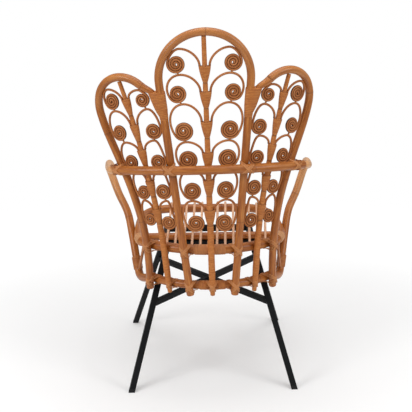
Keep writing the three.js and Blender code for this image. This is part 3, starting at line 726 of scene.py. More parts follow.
def sideArchLine():
    turns = [math.radians(poles["lobeStart"]), math.radians(poles["lobeEnd"])]
    rising, departing = [flat(-math.sin(turn), math.cos(turn)) for turn in turns]
    lobe = arc(flat(poles["lobeReach"], poles["lobeHeight"]), poles["lobeRadius"], *turns)
    beside = poleRadius + 2 * poles["fit"] + poles["tailDiameter"] / 2
    end = flat(legReach(poles["tailEnd"]) + beside, poles["tailEnd"])
    arrive = poles["tailArrive"]
    tail = bezier(
        lobe[-1],
        lobe[-1] + poles["tailDepart"] * departing,
        end + flat(arrive * math.tan(legAngle()), arrive),
        end,
    )
    outer = bezier(
        flat(poles["sideFoot"], poles["footHeight"]),
        flat(poles["kneeReach"], poles["kneeHeight"]),
        lobe[0] - poles["hipLength"] * rising,
        lobe[0],
        poles["outerSteps"],
    )
    return chain(outer, lobe, tail)


def onSide(side, points):
    return [flat(side * p.x, p.y) for p in points]


# a pole that lies in the back, through flat points
def poleOnBack(name, points, radiusOf, seed, node):
    mesh = newMesh()
    length = lengthsAlong([onBack(p.x, p.y) for p in points])[-1]
    knots = knotsFor(length, seed)
    marks = stations(length, poles["step"], knots)
    share = lengthsAlong(points)[-1] / length
    places = placesAt(points, [mark * share for mark in marks])
    centres = [onBack(p.x, p.y) for p in places]
    facings = [outwardAt(p.x, p.y) for p in places]
    radii, tones = poleSkin(marks, length, knots, radiusOf)
    # paler towards the crown tops: a painted highlight
    pale = [poles["paleAndHighlightShare"] * ease(centre.z, *poles["highlightRise"]) for centre in centres]
    start = seed * knotLook["skinShift"]
    sweep(mesh, centres, facings, radii, radii, tones, poles["sides"], start=start, pale=pale)
    finishPiece(mesh, name, rattan, [node])


def tailRadiusAt(mark, length):
    left = length - mark
    return span(poles["tailDiameter"] / 2, poleRadius, min(left / poles["tailLength"], 1))


evenly = lambda mark, length: poleRadius
poleOnBack("centreArch", centreArchLine(), evenly, seeds["centreArch"], "centre_arch")
for name, side in (("left", 1), ("right", -1)):
    points, seed = onSide(side, sideArchLine()), seeds["sideArch"] - side
    poleOnBack(f"{name}Arch", points, tailRadiusAt, seed, f"{name}_arch")
print("arches made")


# crown bindings: a wedge of wound strip from the leg out to the tail

crownWrap = {
    "top": 876,
    "bottom": 798,
    "wedgeWidth": 21,
    "wedgeFoot": 812,
    "thickness": 2.4,
    "leastThickness": 0.8,
    "thinFrom": 832,
    "wedgeCurve": 0.75,
    "pitch": 4.2,
    "samples": 6,  # along each strip
    "ridge": 0.45,
    "grooveShadeStrength": 0.75,
    "endDip": 0.6,
    "slant": 0.12,
    "sides": 28,
}


def crownThickness(height):
    share = ease(height, crownWrap["bottom"], crownWrap["thinFrom"])
    return span(crownWrap["leastThickness"], crownWrap["thickness"], share)


def crownEdges(height):
    foot, top = crownWrap["wedgeFoot"], crownWrap["top"]
    share = max((height - foot) / (top - foot), 0)
    tail = crownWrap["wedgeWidth"] * share ** crownWrap["wedgeCurve"]
    leg, clear = legReach(height), poleRadius + crownThickness(height)
    return leg - clear, leg + clear + tail


def ridges(distance, pitch, sharpness=0.7):
    return abs(math.sin(math.pi * distance / pitch)) ** sharpness


def crownBinding(name, side):
    look = crownWrap
    mesh = newMesh()
    count = round((look["top"] - look["bottom"]) / look["pitch"] * look["samples"])
    centres, facings, depths, widths, tones = [], [], [], [], []
    for i in range(count + 1):
        height = span(look["bottom"], look["top"], i / count)
        inner, outer = crownEdges(height)
        ridge = ridges(height - look["bottom"], look["pitch"])
        endwards = max(1 - min(i, count - i) / look["samples"], 0)
        rough = look["ridge"] * (ridge - 1) - look["endDip"] * endwards
        reach = side * (inner + outer) / 2
        centres.append(onBack(reach, height))
        facings.append(outwardAt(reach, height))
        depths.append(poleRadius + crownThickness(height) + rough)
        widths.append((outer - inner) / 2 + rough)
        # painted shade in the grooves between the turns
        tones.append(look["grooveShadeStrength"] * (1 - ridge) ** 2)
    slant = -side * look["slant"]
    sweep(mesh, centres, facings, depths, widths, tones, look["sides"], slant=slant)
    finishPiece(mesh, name, binding, [name.replace("CrownBinding", "_crown_binding")])


for name, side in (("left", 1), ("right", -1)):
    crownBinding(f"{name}CrownBinding", side)
print("crown bindings made")


# spines: a rod with a wound funnel under each pair of scrolls

spines = {
    "footReach": 130,
    "kneeReach": 140,
    "kneeHeight": 520,
    "hipReach": 172,
    "hipHeight": 700,
    "topReach": 240,
    "footDiameter": 13,
    "waistHeight": 345,
    "waistDiameter": 19,
    "funnelLength": 43,
    "funnelCurve": 1.4,
    "funnelDepth": 1.6,
    "lip": ((0.5, 0.86, 2), (0.6, 0.3, 2), (1.2, 0, 1)),  # rise over the mouth, flare, ridge
    "lipClear": 4,
    "lipShade": 0.45,
    "seatHeight": 410,
    "armRailHeight": 660,
    "step": 6,
    "pitch": 3.2,
    "samples": 6,
    "ridge": 0.4,
    "grooveShadeStrength": 0.7,
    "lineSteps": 200,
}
centreSpine = {
    "topHeight": 1022.2,
    "topDiameter": 12.5,
    "funnelWidth": 33,
    "arch": 1034,
    "mouths": [0.876, 0.781, 0.669, 0.55, 0.443, 0.323],
}
sideSpine = {
    "topHeight": 901.5,
    "topDiameter": 11.5,
    "funnelWidth": 28,
    "arch": 914,
    "mouths": [0.9, 0.782, 0.668, 0.524, 0.388],
}
sideSpineLine = bezier(
    flat(spines["footReach"], poles["footHeight"]),
    flat(spines["kneeReach"], spines["kneeHeight"]),
    flat(spines["hipReach"], spines["hipHeight"]),
    flat(spines["topReach"], sideSpine["topHeight"]),
    spines["lineSteps"],
)


def spinePlace(spine, height):
    if spine is centreSpine:
        return flat(0, height)
    for a, b in zip(sideSpineLine, sideSpineLine[1:]):
        if b.y >= height:
            return a.lerp(b, (height - a.y) / (b.y - a.y))
    return sideSpineLine[-1]


def spineRadius(spine, height):
    low, waist, top = poles["footHeight"], spines["waistHeight"], spine["topHeight"]
    if height < waist:
        share = (height - low) / (waist - low)
        return span(spines["footDiameter"], spines["waistDiameter"], share) / 2
    share = (height - waist) / (top - waist)
    return span(spines["waistDiameter"], spine["topDiameter"], share) / 2


def spineOut(spine, height, radius):
    rising = ease(height, spines["seatHeight"], spines["armRailHeight"])
    fading = 1 - ease(height, spines["armRailHeight"], spine["topHeight"])
    return (2 * rising - 1) * (poleRadius - radius) * fading


def mouthHeights(spine):
    return [span(back["base"], spine["arch"], share) for share in spine["mouths"]]


def spineMesh(name, side, spine, nodes):
    mesh = newMesh()
    length = spines["funnelLength"]
    levels = []  # height, flare, ridge
    height = poles["footHeight"]
    for mouth in reversed(mouthHeights(spine)):
        foot = mouth - length
        count = max(round((foot - height) / spines["step"]), 1)
        levels += [(span(height, foot, i / count), 0, 0) for i in range(count)]
        count = round(length / spines["pitch"] * spines["samples"])
        for i in range(count + 1):
            share = i / count
            flare = 1 - (1 - share) ** spines["funnelCurve"]
            ridge = ridges(share * length, spines["pitch"])
            levels.append((span(foot, mouth, share), flare, ridge - 1))
        levels += [(mouth + rise, flare, ridge) for rise, flare, ridge in spines["lip"]]
        height = mouth + spines["lipClear"]
    count = round((spine["topHeight"] - height) / spines["step"])
    levels += [(span(height, spine["topHeight"], i / count), 0, 0) for i in range(count + 1)]
    centres, facings, depths, widths, tones = [], [], [], [], []
    for height, flare, ridge in levels:
        radius = spineRadius(spine, height)
        place = spinePlace(spine, height)
        rough = spines["ridge"] * min(ridge, 0)
        centres.append(onBack(side * place.x, place.y, spineOut(spine, height, radius)))
        facings.append(outwardAt(side * place.x, place.y))
        depths.append(radius + flare * spines["funnelDepth"] + rough)
        widths.append(span(radius, spine["funnelWidth"] / 2, flare) + rough)
        # painted shade in the grooves of the funnel's winding and on the lip at its mouth
        tones.append(spines["lipShade"] if ridge > 0 else spines["grooveShadeStrength"] * ridge * ridge)
    sweep(mesh, centres, facings, depths, widths, tones)
    finishPiece(mesh, name, binding, nodes)


spineMesh("centreSpine", 1, centreSpine, ["centre_spine"])
for name, side in (("left", 1), ("right", -1)):
    spineMesh(f"{name}Spine", side, sideSpine, [f"{name}_spine"])
print("spines made")


# scrolls: a stem that arches out of a funnel and is wound into a coil
# each row: reach and height of the mouth, reach, height and radius of the coil,
# top of the stem, and the turn at which the stem lands on the coil

scrolls = {
    "stem": 6.5,
    "depth": 7.2,
    "eye": 1.8,
    "pitch": 6.7,
    "growth": 1.4,  # how much fuller each coil is than its row says
    "bulge": 1.2,
    "leastOverhang": 0.9,
    "riseHandle": 0.5,
    "fallHandle": 0.53,
    "riseSteps": 12,
    "fallSteps": 16,
    "turnSteps": 30,
    "sides": 14,
    "blend": (-2, 8),  # points before and after the landing where stem turns into coil
    "squeeze": 1.04,  # how far the turns press into each other
    "endTaper": 0.85,
    "endPoints": 5,
    "footShade": 0.9,
    "skinShift": 530,
    "peg": 5.6,
    "pegDepth": 4.4,
    "pegStep": 1.5,
    "pegShade": 0.35,
    "pegSides": 10,
    "apex": {"centre": 0.56, "inner": 0.43, "outer": 0.66},
    "centre": [
        (13.3, 943.3, 75.72, 950.3, 25.85, 990.7, -0.436),
        (13.3, 873.6, 75, 869.6, 25.3, 921.3, 0.611),
        (13.3, 791.3, 63, 766.1, 27.5, 841.1, 0.611),
        (13.3, 704, 55, 685, 28.32, 735.4, 0.611),
        (13.3, 625.5, 47, 595.1, 26.68, 653.5, 0.611),
        (13.3, 537.4, 40, 498.2, 26.2, 565.2, 0.611),
    ],
    "inner": [
        (213.9, 856.1, 174.54, 852.6, 22, 879.6, -1.222),
        (192.4, 783.3, 146.9, 766.6, 24.2, 827.4, -0.175),
        (174.5, 712.9, 137.82, 678.8, 24.2, 739.2, -0.349),
        (155.8, 624, 127.8, 592.5, 24.6, 651.4, -0.349),
        (142, 540, 117.5, 498, 23, 564.1, -0.349),
    ],
    "outer": [
        (234.5, 849.6, 270, 844.6, 24.75, 877.2, 0.611),
        (213.3, 777.6, 253.99, 755.6, 24.2, 816.7, 0.611),
        (195.5, 708, 222.98, 672.1, 23.65, 728.2, 0.611),
        (177, 620.1, 189.34, 586.1, 22.55, 645.2, 0.611),
        (163.4, 537, 174.73, 502.6, 21.3, 560.4, 0.313),
    ],
}


def coilPoint(centre, radius, turn, way):
    return flat(centre.x + way * radius * math.cos(turn), centre.y - radius * math.sin(turn))


def scrollLine(row, way, spine, apexReach):
    mouthReach, mouthHeight, reach, height, coilRadius, top, turn = row
    mouth = flat(mouthReach, mouthHeight)
    centre = flat(reach, height)
    outer = coilRadius + scrolls["growth"] - scrolls["pitch"] / 2
    onward = (spinePlace(spine, mouthHeight + 1) - spinePlace(spine, mouthHeight - 1)).normalized()
    landing = coilPoint(centre, outer, turn, way)
    arriving = flat(-way * math.sin(turn), -math.cos(turn))
    bulge = reach + way * coilRadius * scrolls["bulge"]
    apex = flat(span(mouthReach, bulge, apexReach), top)
    across = flat(way, 0)
    fall = top - landing.y
    onwardReach = abs(landing.x + way * fall * math.sin(turn) - apex.x)
    overhang = 0.5 * max(onwardReach, scrolls["leastOverhang"] * abs(landing.x - apex.x))
    rise = bezier(
        mouth,
        mouth + scrolls["riseHandle"] * (top - mouthHeight) * onward,
        apex - scrolls["riseHandle"] * abs(apex.x - mouthReach) * across,
        apex,
        scrolls["riseSteps"],
    )
    drop = bezier(
        apex,
        apex + overhang * across,
        landing - scrolls["fallHandle"] * fall * arriving,
        landing,
        scrolls["fallSteps"],
    )
    turns = (outer - scrolls["eye"]) / scrolls["pitch"]
    steps = round(turns * scrolls["turnSteps"])
    coil = []
    for i in range(steps + 1):
        radius = span(outer, scrolls["eye"], i / steps)
        coil.append(coilPoint(centre, radius, turn + 2 * math.pi * turns * i / steps, way))
    return chain(rise, drop, coil), len(rise) + len(drop) - 2


def scrollPiece(name, side, row, way, spine, apexReach, node, seed):
    points, landed = scrollLine(row, way, spine, apexReach)
    mesh = newMesh()
    centres, facings, depths, widths, tones = [], [], [], [], []
    last = len(points) - 1
    before, after = scrolls["blend"]
    for i, p in enumerate(points):
        coiled = ease(i, landed + before, landed + after)
        taper = span(scrolls["endTaper"], 1, min((last - i) / scrolls["endPoints"], 1))
        width = span(scrolls["stem"], scrolls["pitch"] * scrolls["squeeze"], coiled)
        centres.append(onBack(side * p.x, p.y))
        facings.append(outwardAt(side * p.x, p.y))
        widths.append(width / 2 * taper)
        depths.append(span(scrolls["stem"], scrolls["depth"], coiled) / 2)
        tones.append(coiled)
    # painted shade on the sides of the coil's turns, and at the stem's foot where it goes into the
    # funnel
    tones[0] = tones[1] = scrolls["footShade"]
    start = seed * scrolls["skinShift"]
    sweep(mesh, centres, facings, depths, widths, tones, scrolls["sides"], start=start)
    finishPiece(mesh, name, scrollCane, [node])


# the little pegs that hold each coil to the stem under it
def coilPegs(name, side, column, way, spine):
    mesh = newMesh()
    for row, nextRow in zip(scrolls[column], scrolls[column][1:]):
        reach, height, radius = row[2:5]
        centre = flat(reach, height)
        points, landed = scrollLine(nextRow, way, spine, scrolls["apex"][column])
        near = min(points[:landed], key=lambda p: (p - centre).length)
        rim = centre + (near - centre).normalized() * (radius - scrolls["pitch"] / 2)
        places = line(rim, near, scrolls["pegStep"])
        # painted shade on the pegs' sides
        sweep(
            mesh,
            [onBack(side * p.x, p.y) for p in places],
            [outwardAt(side * p.x, p.y) for p in places],
            scrolls["pegDepth"] / 2,
            scrolls["peg"] / 2,
            scrolls["pegShade"],
            scrolls["pegSides"],
        )
    finishPiece(mesh, name, scrollCane)


number = 0  # each scroll, and later each lashing, shows its own stretch of skin
for name, side in (("left", 1), ("right", -1)):
    for column, way, spine, label in (
        ("centre", 1, centreSpine, f"scroll_centre_{name}"),
        ("inner", -1, sideSpine, f"scroll_{name}_inner"),
        ("outer", 1, sideSpine, f"scroll_{name}_outer"),
    ):
        for i, row in enumerate(scrolls[column]):
            number += 1
            piece = f"{name}{column.title()}Scroll{i + 1}"
            node = f"{label}_{i + 1}"
            scrollPiece(piece, side, row, way, spine, scrolls["apex"][column], node, number)
        coilPegs(f"{name}{column.title()}Pegs", side, column, way, spine)
print("scrolls made")


# arm rail, arms and posts

rails = {
    "armRailHeight": 660,
    "armRailDrop": 66,
    "armRailLevel": 0.0214,  # how much less than the back the rail tips sideways
    "armRailRadius": 12.5,
    "armRadius": 11.5,
    "joint": 42.5,  # degrees
    "jointSkew": 1.5,
    "armLead": 13,
    "front": (298, -60, 595),
    "foot": (217, 35, 311),
    "post": (5, -15, 25),
    "postStraight": 24,
    "postBinding": 38,
    "lowerRadius": 12,
    "lowerDegrees": 50,
    "lowerLead": 34,
    "lowerDip": 12,
    "lowerTurn": 28,
    "arcSteps": 90,
    "step": 7,
    "armPaleAndHighlight": 0.85,
    "armPaleAndHighlightRise": (430, 600),
}

# the arm's places from its joint to its post: shares across, forward and up, from foot to front
armShares = [
    (0.82, -0.68, 1.1),
    (0.94, 0.37, 1.05),
    (1, 1, 1),
    (1.02, 1.26, 0.94),
    (0.94, 1.34, 0.86),
    (0.68, 1.1, 0.67),
    (0.345, 0.79, 0.48),
    (0.18, 0.47, 0.27),
]


def railLevel(angle):
    level = rails["armRailHeight"] - rails["armRailDrop"] * (1 - math.cos(angle))
    return level + rails["armRailLevel"] * backRadius(level) * math.sin(angle)


def armRailPoint(angle):
    height = railLevel(angle)
    out = poleRadius + rails["armRailRadius"] + poles["fit"]
    return onBack(backRadius(height) * angle, height, out)


# points of a hoop between two turns round the back
def hoop(pointAt, low, high, steps):
    return [pointAt(span(low, high, i / steps)) for i in range(steps + 1)]


def fromMiddle(point):
    return Vector((point.x, point.y - (back["reach"] - back["radius"]), 0)).normalized()


def jointAngle(side):
    return side * math.radians(rails["joint"] - side * rails["jointSkew"])


def postFoot(side):
    x, y, z = rails["foot"]
    return Vector((side * x, y, z))


def postUp(side):
    x, y, z = rails["post"]
    return Vector((side * x, y, z)).normalized()


def armLine(side):
    joint = armRailPoint(jointAngle(side))
    onward = (armRailPoint(jointAngle(side) + side * math.radians(1)) - joint).normalized()
    foot = postFoot(side)
    x, y, z = rails["front"]
    places = [
        Vector((span(foot.x, side * x, across), span(foot.y, y, forward), span(foot.z, z, rise)))
        for across, forward, rise in armShares
    ]
    return throughPlaces([
        joint + onward * poles["fit"],
        joint + onward * rails["armLead"],
        *places,
        foot + postUp(side) * rails["postStraight"],
        foot + postUp(side) * poles["fit"] / 2,
    ])


def lowerRailPoint(angle):
    inset = -(poleRadius + rails["lowerRadius"] + poles["fit"])
    return onBack(backRadius(back["base"]) * angle, back["base"], inset)


def lowerRailLine():
    half = math.radians(rails["lowerDegrees"])
    arcPoints = hoop(lowerRailPoint, -half, half, rails["arcSteps"])

    def turnUp(side):
        end = lowerRailPoint(side * half)
        onward = (end - lowerRailPoint(side * (half - math.radians(1)))).normalized()
        up = postUp(side)
        low = postFoot(side) - up * rails["postStraight"]
        bend = bezier(
            end,
            end + onward * rails["lowerLead"] + Vector((0, 0, -rails["lowerDip"])),
            low - up * rails["lowerTurn"],
            low,
        )
        return chain(bend, line(low, postFoot(side) - up * poles["fit"] / 2))

    return turnUp(-1)[::-1][:-1] + arcPoints + turnUp(1)[1:]


def spacePole(name, points, radius, seed, nodes, sides=20, closed=False, paleOf=None):
    mesh = newMesh()
    radiusOf = lambda mark, length: radius
    pole(mesh, points, fromMiddle, radiusOf, seed, rails["step"], sides, closed, paleOf)
    finishPiece(mesh, name, rattan, nodes)


# the arms are paler towards their tops: a painted highlight over paler skin
def armPaleAndHighlightAt(centre):
    return rails["armPaleAndHighlight"] * ease(centre.z, *rails["armPaleAndHighlightRise"])


armRailLine = hoop(armRailPoint, jointAngle(-1), jointAngle(1), rails["arcSteps"])
spacePole("armRail", armRailLine, rails["armRailRadius"], seeds["armRail"], ["arm_rail"])
lowerLine = lowerRailLine()
spacePole("lowerRail", lowerLine, rails["lowerRadius"], seeds["lowerRail"], ["lower_rail"])
for name, side in (("left", 1), ("right", -1)):
    radius, seed, nodes = rails["armRadius"], seeds["arm"] + side, [f"{name}_arm"]
    spacePole(f"{name}Arm", armLine(side), radius, seed, nodes, paleOf=armPaleAndHighlightAt)
print("rails and arms made")


# wound sleeves

wraps = {
    "pitch": 3.4,
    "samples": 6,
    "ridge": 0.5,
    "grooveShadeStrength": 0.7,
    "grooveShadeCurve": 1.5,
    "slant": 0.1,
    "sides": 24,
    "skin": 1.7,
    "edge": 1.4,
    "edgeSamples": 3,
    "postSkin": 2.2,
    "postTone": 0.12,
    "ringSkin": 0.9,
    "ringTone": 0.55,
    "ringTurn": 0.018,
}


def sleeve(mesh, points, facingOf, radius, pale=0, dark=0):
    length = lengthsAlong(points)[-1]
    count = max(round(length / wraps["pitch"]), 1) * wraps["samples"]
    centres = placesAt(points, [length * i / count for i in range(count + 1)])
    radii, tones = [], []
    for i in range(count + 1):
        bump = ridges(i / wraps["samples"], 1)
        endwards = max(1 - min(i, count - i) / wraps["edgeSamples"], 0)
        radii.append(radius + wraps["ridge"] * (bump - 1) - wraps["edge"] * endwards)
        # painted shade in the grooves between the turns, over any darkness of the sleeve itself
        tones.append(dark + wraps["grooveShadeStrength"] * (1 - bump) ** wraps["grooveShadeCurve"])
    facings = [facingOf(centre) for centre in centres]
    sides, slant = wraps["sides"], wraps["slant"]
    sweep(mesh, centres, facings, radii, radii, tones, sides, slant=slant, pale=pale)


def sleevePiece(name, points, radius, nodes=(), pale=0, dark=0):
    mesh = newMesh()
    sleeve(mesh, points, fromMiddle, radius, pale, dark)
    finishPiece(mesh, name, binding, nodes)


for name, side in (("left", 1), ("right", -1)):
    half = rails["postBinding"] / 2
    foot, up = postFoot(side), postUp(side)
    postLine = line(foot - up * half, foot + up * half)
    radius = rails["lowerRadius"] + wraps["postSkin"]
    nodes = [f"{name}_post_binding"]
    sleevePiece(f"{name}PostBinding", postLine, radius, nodes, dark=wraps["postTone"])
    joint = armRailPoint(jointAngle(side))
    before = armRailPoint(jointAngle(side) - side * wraps["ringTurn"])
    radius = rails["armRadius"] + wraps["ringSkin"]
    sleevePiece(f"{name}JointRing", line(before, joint, 2), radius, dark=wraps["ringTone"])
print("sleeves made")


# seat ring and slats

seat = {
    "height": 410,
    "ringRadius": 13.5,
    "arc": 46,  # degrees
    "sideReach": 210.08,
    "sideDepth": 40,
    "frontDepth": -211,
    "frontReach": 90,
    "cornerLength": 60,
    "cornerLead": 20,
    "rearSteps": 60,
    "cornerSteps": 20,
    "sideSteps": 50,
    "ringSides": 24,
    "slats": 13,
    "rearPitch": 23.7,
    "frontPitch": 24.6,
    "rearMiddle": -13.4,
    "frontMiddle": -37.3,
    "slatRadius": 3.75,
    "slatHeight": 417.75,
    "slatStep": 8,
    "flatStep": 12,
    "slatSides": 12,
    "nose": 22,
    "noseSteps": 8,
    "curve": 0.6,
    "bearerDepth": 73,
    "bearerHeight": 404,
    "bearerRadius": 11,
    "bearerInset": 4,
    "bearerSides": 18,
}


def seatRingLine():
    half = math.radians(seat["arc"])
    inset = -(poleRadius + seat["ringRadius"] + poles["fit"])
    at = lambda angle: onBack(backRadius(seat["height"]) * angle, seat["height"], inset)
    rear = hoop(at, -half, half, seat["rearSteps"])
    wide, corner, lead = seat["sideReach"], seat["cornerLength"], seat["cornerLead"]

    def sideRun(side):
        end = at(side * half)
        onward = (end - at(side * (half - math.radians(1)))).normalized()
        place = lambda x, y: Vector((side * x, y, seat["height"]))
        flank = place(wide, seat["sideDepth"])
        rearCorner = bezier(
            end,
            end + onward * lead,
            place(wide, seat["sideDepth"] + corner),
            flank,
            seat["cornerSteps"],
        )
        frontCorner = bezier(
            flank,
            place(wide, seat["frontDepth"] + corner),
            place(wide - lead, seat["frontDepth"]),
            place(seat["frontReach"], seat["frontDepth"]),
            seat["sideSteps"],
        )
        return chain(rearCorner, frontCorner)[1:]

    points = rear + sideRun(1) + sideRun(-1)[::-1]
    return points + [points[0]]


ringLine = seatRingLine()
spacePole("seatRing", ringLine, seat["ringRadius"], seeds["seatRing"], ["seat_ring"],
          seat["ringSides"], True)


# how far back or forward the seat ring runs at a place across it
def ringDepth(x, front):
    for a, b in zip(ringLine, ringLine[1:]):
        if min(a.x, b.x) <= x <= max(a.x, b.x) and a.x != b.x:
            depth = span(a.y, b.y, (x - a.x) / (b.x - a.x))
            if (depth < 0) == front:
                return depth
    return 0


def slatLine(rearReach, frontReach):
    rear = ringDepth(rearReach, False)
    front = ringDepth(frontReach, True)
    place = lambda y, z: Vector((span(rearReach, frontReach, (rear - y) / (rear - front)), y, z))
    over = seat["ringRadius"] + seat["slatRadius"] + poles["fit"]
    nose = []
    for i in range(seat["noseSteps"] + 1):
        angle = seat["nose"] / over * i / seat["noseSteps"]
        height = seat["height"] + over * math.cos(angle)
        nose.append(place(front - over * math.sin(angle), height))
    rise = bezier(
        place(seat["bearerDepth"], seat["slatHeight"]),
        place(span(seat["bearerDepth"], front, seat["curve"]), seat["slatHeight"]),
        place(front + 2 * seat["ringRadius"], nose[0].z),
        nose[0],
    )
    return chain(line(place(rear, seat["slatHeight"]), rise[0], seat["flatStep"]), rise, nose)


def seatSlats():
    sideways = lambda centre: Vector((1, 0, 0))
    radiusOf = lambda mark, length: seat["slatRadius"]
    mesh = newMesh()
    for i in range(seat["slats"]):
        place = i - (seat["slats"] - 1) / 2
        rear = seat["rearMiddle"] + place * seat["rearPitch"]
        front = seat["frontMiddle"] + place * seat["frontPitch"]
        points, seed = slatLine(rear, front), seeds["slat"] + i
        pole(mesh, points, sideways, radiusOf, seed, seat["slatStep"], seat["slatSides"])
    finishPiece(mesh, "seatSlats", paleCane, ["seat_slats"])


def crossBearer():
    upwards = lambda centre: Vector((0, 0, 1))
    radiusOf = lambda mark, length: seat["bearerRadius"]
    reach = seat["sideReach"] - seat["bearerInset"]
    end = Vector((reach, seat["bearerDepth"], seat["bearerHeight"]))
    start = Vector((-reach, seat["bearerDepth"], seat["bearerHeight"]))
    mesh = newMesh()
    pole(mesh, line(start, end), upwards, radiusOf, seeds["bearer"], sides=seat["bearerSides"])
    finishPiece(mesh, "crossBearer", rattan, ["seat_slats"])


seatSlats()
crossBearer()
print("seat made")


# lashings: split strands wound crosswise over two poles that meet

lashings = {
    "strands": 3,
    "thickness": 1.3,
    "width": 3.1,
    "gap": 2.9,
    "over": 0.6,  # how far the upper strands lie over the lower ones
    "paleAndHighlightShare": 0.25,
    "skinShift": 97,
    "points": 28,
    "sides": 6,
    "tries": 6,
    "rise": 4,  # how far up and down the pole its direction is taken from
    "turn": 0.02,  # and how far round the rail, in radians
}

outerLine = sideArchLine()[:poles["outerSteps"]]
armRailOut = poleRadius + rails["armRailRadius"] + poles["fit"]
seatRingOut = -(poleRadius + seat["ringRadius"] + poles["fit"])
lowerRailOut = -(poleRadius + rails["lowerRadius"] + poles["fit"])


def outerReach(height):
    for a, b in zip(outerLine, outerLine[1:]):
        if b.y >= height:
            return a.lerp(b, (height - a.y) / (b.y - a.y)).x
    return outerLine[-1].x


# each kind of pole: how far round the back it is at a height, its radius and how far out it stands
standing = {
    "Leg": (legReach, lambda height: poleRadius, lambda height: 0),
    "Outer": (outerReach, lambda height: poleRadius, lambda height: 0),
    "Spine": (
        lambda height: spinePlace(sideSpine, height).x,
        lambda height: spineRadius(sideSpine, height),
        lambda height: spineOut(sideSpine, height, spineRadius(sideSpine, height)),
    ),
    "Middle": (
        lambda height: 0,
        lambda height: spineRadius(centreSpine, height),
        lambda height: spineOut(centreSpine, height, spineRadius(centreSpine, height)),
    ),
}


# one loop of strand, pulled tight round two rods, in the plane of a diagonal and their normal
# each rod: its place along the normal and along the diagonal, its radius and half its oblique cut
def strand(mesh, centre, normal, diagonal, rods, seed):
    thickness = lashings["thickness"] / 2
    centres, facings = [], []
    for i in range(lashings["points"]):
        turn = 2 * math.pi * i / lashings["points"]
        cosine, sine = math.cos(turn), math.sin(turn)
        reaches = []
        for place, slip, radius, wide in rods:
            reach = math.hypot(wide * cosine, radius * sine)
            touch = diagonal * (slip + wide * wide * cosine / reach)
            touch += normal * (place + radius * radius * sine / reach)
            reaches.append((place * sine + slip * cosine + reach, touch))
        outward = diagonal * cosine + normal * sine
        centres.append(centre + max(reaches, key=lambda pair: pair[0])[1] + outward * thickness)
        facings.append(outward)
    width, start = lashings["width"] / 2, seed * lashings["skinShift"]
    sweep(mesh, centres, facings, thickness, width, 0, lashings["sides"], True,
          start=start, pale=lashings["paleAndHighlightShare"])


def lashing(name, side, kind, railHeight, railOut, railRadius, seed):
    reachAt, radiusAt, outAt = standing[kind]
    angle = 0
    for attempt in range(lashings["tries"]):
        height = railHeight(angle)
        angle = side * reachAt(height) / backRadius(height)
    upright, across = [], []
    for step in (-1, 0, 1):
        level = height + step * lashings["rise"]
        upright.append(onBack(side * reachAt(level), level, outAt(height)))
        turn = angle + step * lashings["turn"]
        level = railHeight(turn)
        across.append(onBack(backRadius(level) * turn, level, railOut))
    first, second = upright[1], across[1]
    normal, apart = (second - first).normalized(), (second - first).length
    rising, running = [(points[2] - points[0]).normalized() for points in (upright, across)]
    mesh = newMesh()
    for sign in (1, -1):
        diagonal = rising + running * sign
        diagonal = (diagonal - normal * diagonal.dot(normal)).normalized()
        beside = diagonal.cross(normal)
        spare = lashings["over"] if sign > 0 else 0
        for i in range(lashings["strands"]):
            aside = (i - (lashings["strands"] - 1) / 2) * lashings["gap"]
            rods = []
            for axis, place, bare in ((rising, 0, radiusAt(height)), (running, apart, railRadius)):
                slope = axis.dot(beside)
                slip = aside * axis.dot(diagonal) / slope
                rods.append((place, slip, bare + spare, (bare + spare) / abs(slope)))
            strand(mesh, first + beside * aside, normal, diagonal, rods, seed + i)
    finishPiece(mesh, name, binding)


armRail = railLevel, armRailOut, rails["armRailRadius"]
seatRing = lambda angle: seat["height"], seatRingOut, seat["ringRadius"]
lowerRail = lambda angle: back["base"], lowerRailOut, rails["lowerRadius"]
for name, side in (("left", 1), ("right", -1)):
    for kind in ("Leg", "Outer"):
        number += 1
        lashing(f"{name}Arm{kind}Lashing", side, kind, *armRail, number)
        lashing(f"{name}Seat{kind}Lashing", side, kind, *seatRing, number)
    for kind in ("Leg", "Outer", "Spine"):
        lashing(f"{name}Low{kind}Lashing", side, kind, *lowerRail, number)
lashing("lowMiddleLashing", 0, "Middle", *lowerRail, number)
print("lashings made")


# windings on the rails between the poles, and the braces from the seat ring to the lower rail

windings = {
    "seatRing": (-44, 52),
    "seatPale": 0.15,
    "lower": ((18, 40), (-18, -40)),
    "side": (98, 136),
    "sidePale": 0.6,
    "step": 3,
    "braceTop": (194, 142, 400),
    "braceBack": 27,  # how far along the lower rail from the post's foot
    "braceRadius": 4.5,
    "braceSink": 1,
    "braceSides": 14,
}


def ringStretch(height, out, low, high):
    count = max(round(abs(high - low) / windings["step"]), 3)
    return hoop(lambda reach: onBack(reach, height, out), low, high, count)


ringSkin = seat["ringRadius"] + wraps["skin"]
rearPoints = ringStretch(seat["height"], seatRingOut, *windings["seatRing"])
sleevePiece("seatRingWinding", rearPoints, ringSkin, pale=windings["seatPale"])
for name, side, ends in zip(("left", "right"), (1, -1), windings["lower"]):
    points = ringStretch(back["base"], lowerRailOut, *ends)
    sleevePiece(f"{name}LowerWinding", points, rails["lowerRadius"] + wraps["skin"])
    low, high = windings["side"]
    points = [p for p in ringLine if low < p.y < high and p.x * side > 0]
    sleevePiece(f"{name}SideWinding", points, ringSkin, pale=windings["sidePale"])
    x, y, z = windings["braceTop"]
    top = Vector((side * x, y, z))
    place = placesAt(lowerLine[::-side], [windings["braceBack"]])[0]
    foot = place + (top - place).normalized() * (rails["lowerRadius"] - windings["braceSink"])
    radius, seed = windings["braceRadius"], seeds["brace"] + side
    spacePole(f"{name}Brace", line(top, foot), radius, seed, (), windings["braceSides"])
print("windings made")


# steel base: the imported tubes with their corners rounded

steel = {
    "longEdge": 0.05,  # metres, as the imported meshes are
    "leastEdge": 0.002,
    "sharpTurn": 0.5,
    "flatTurn": 0.01,
    "sameSpot": 0.00001,
    "longRound": 0.0013,
    "shortRound": 0.0004,
    "segments": 2,
}


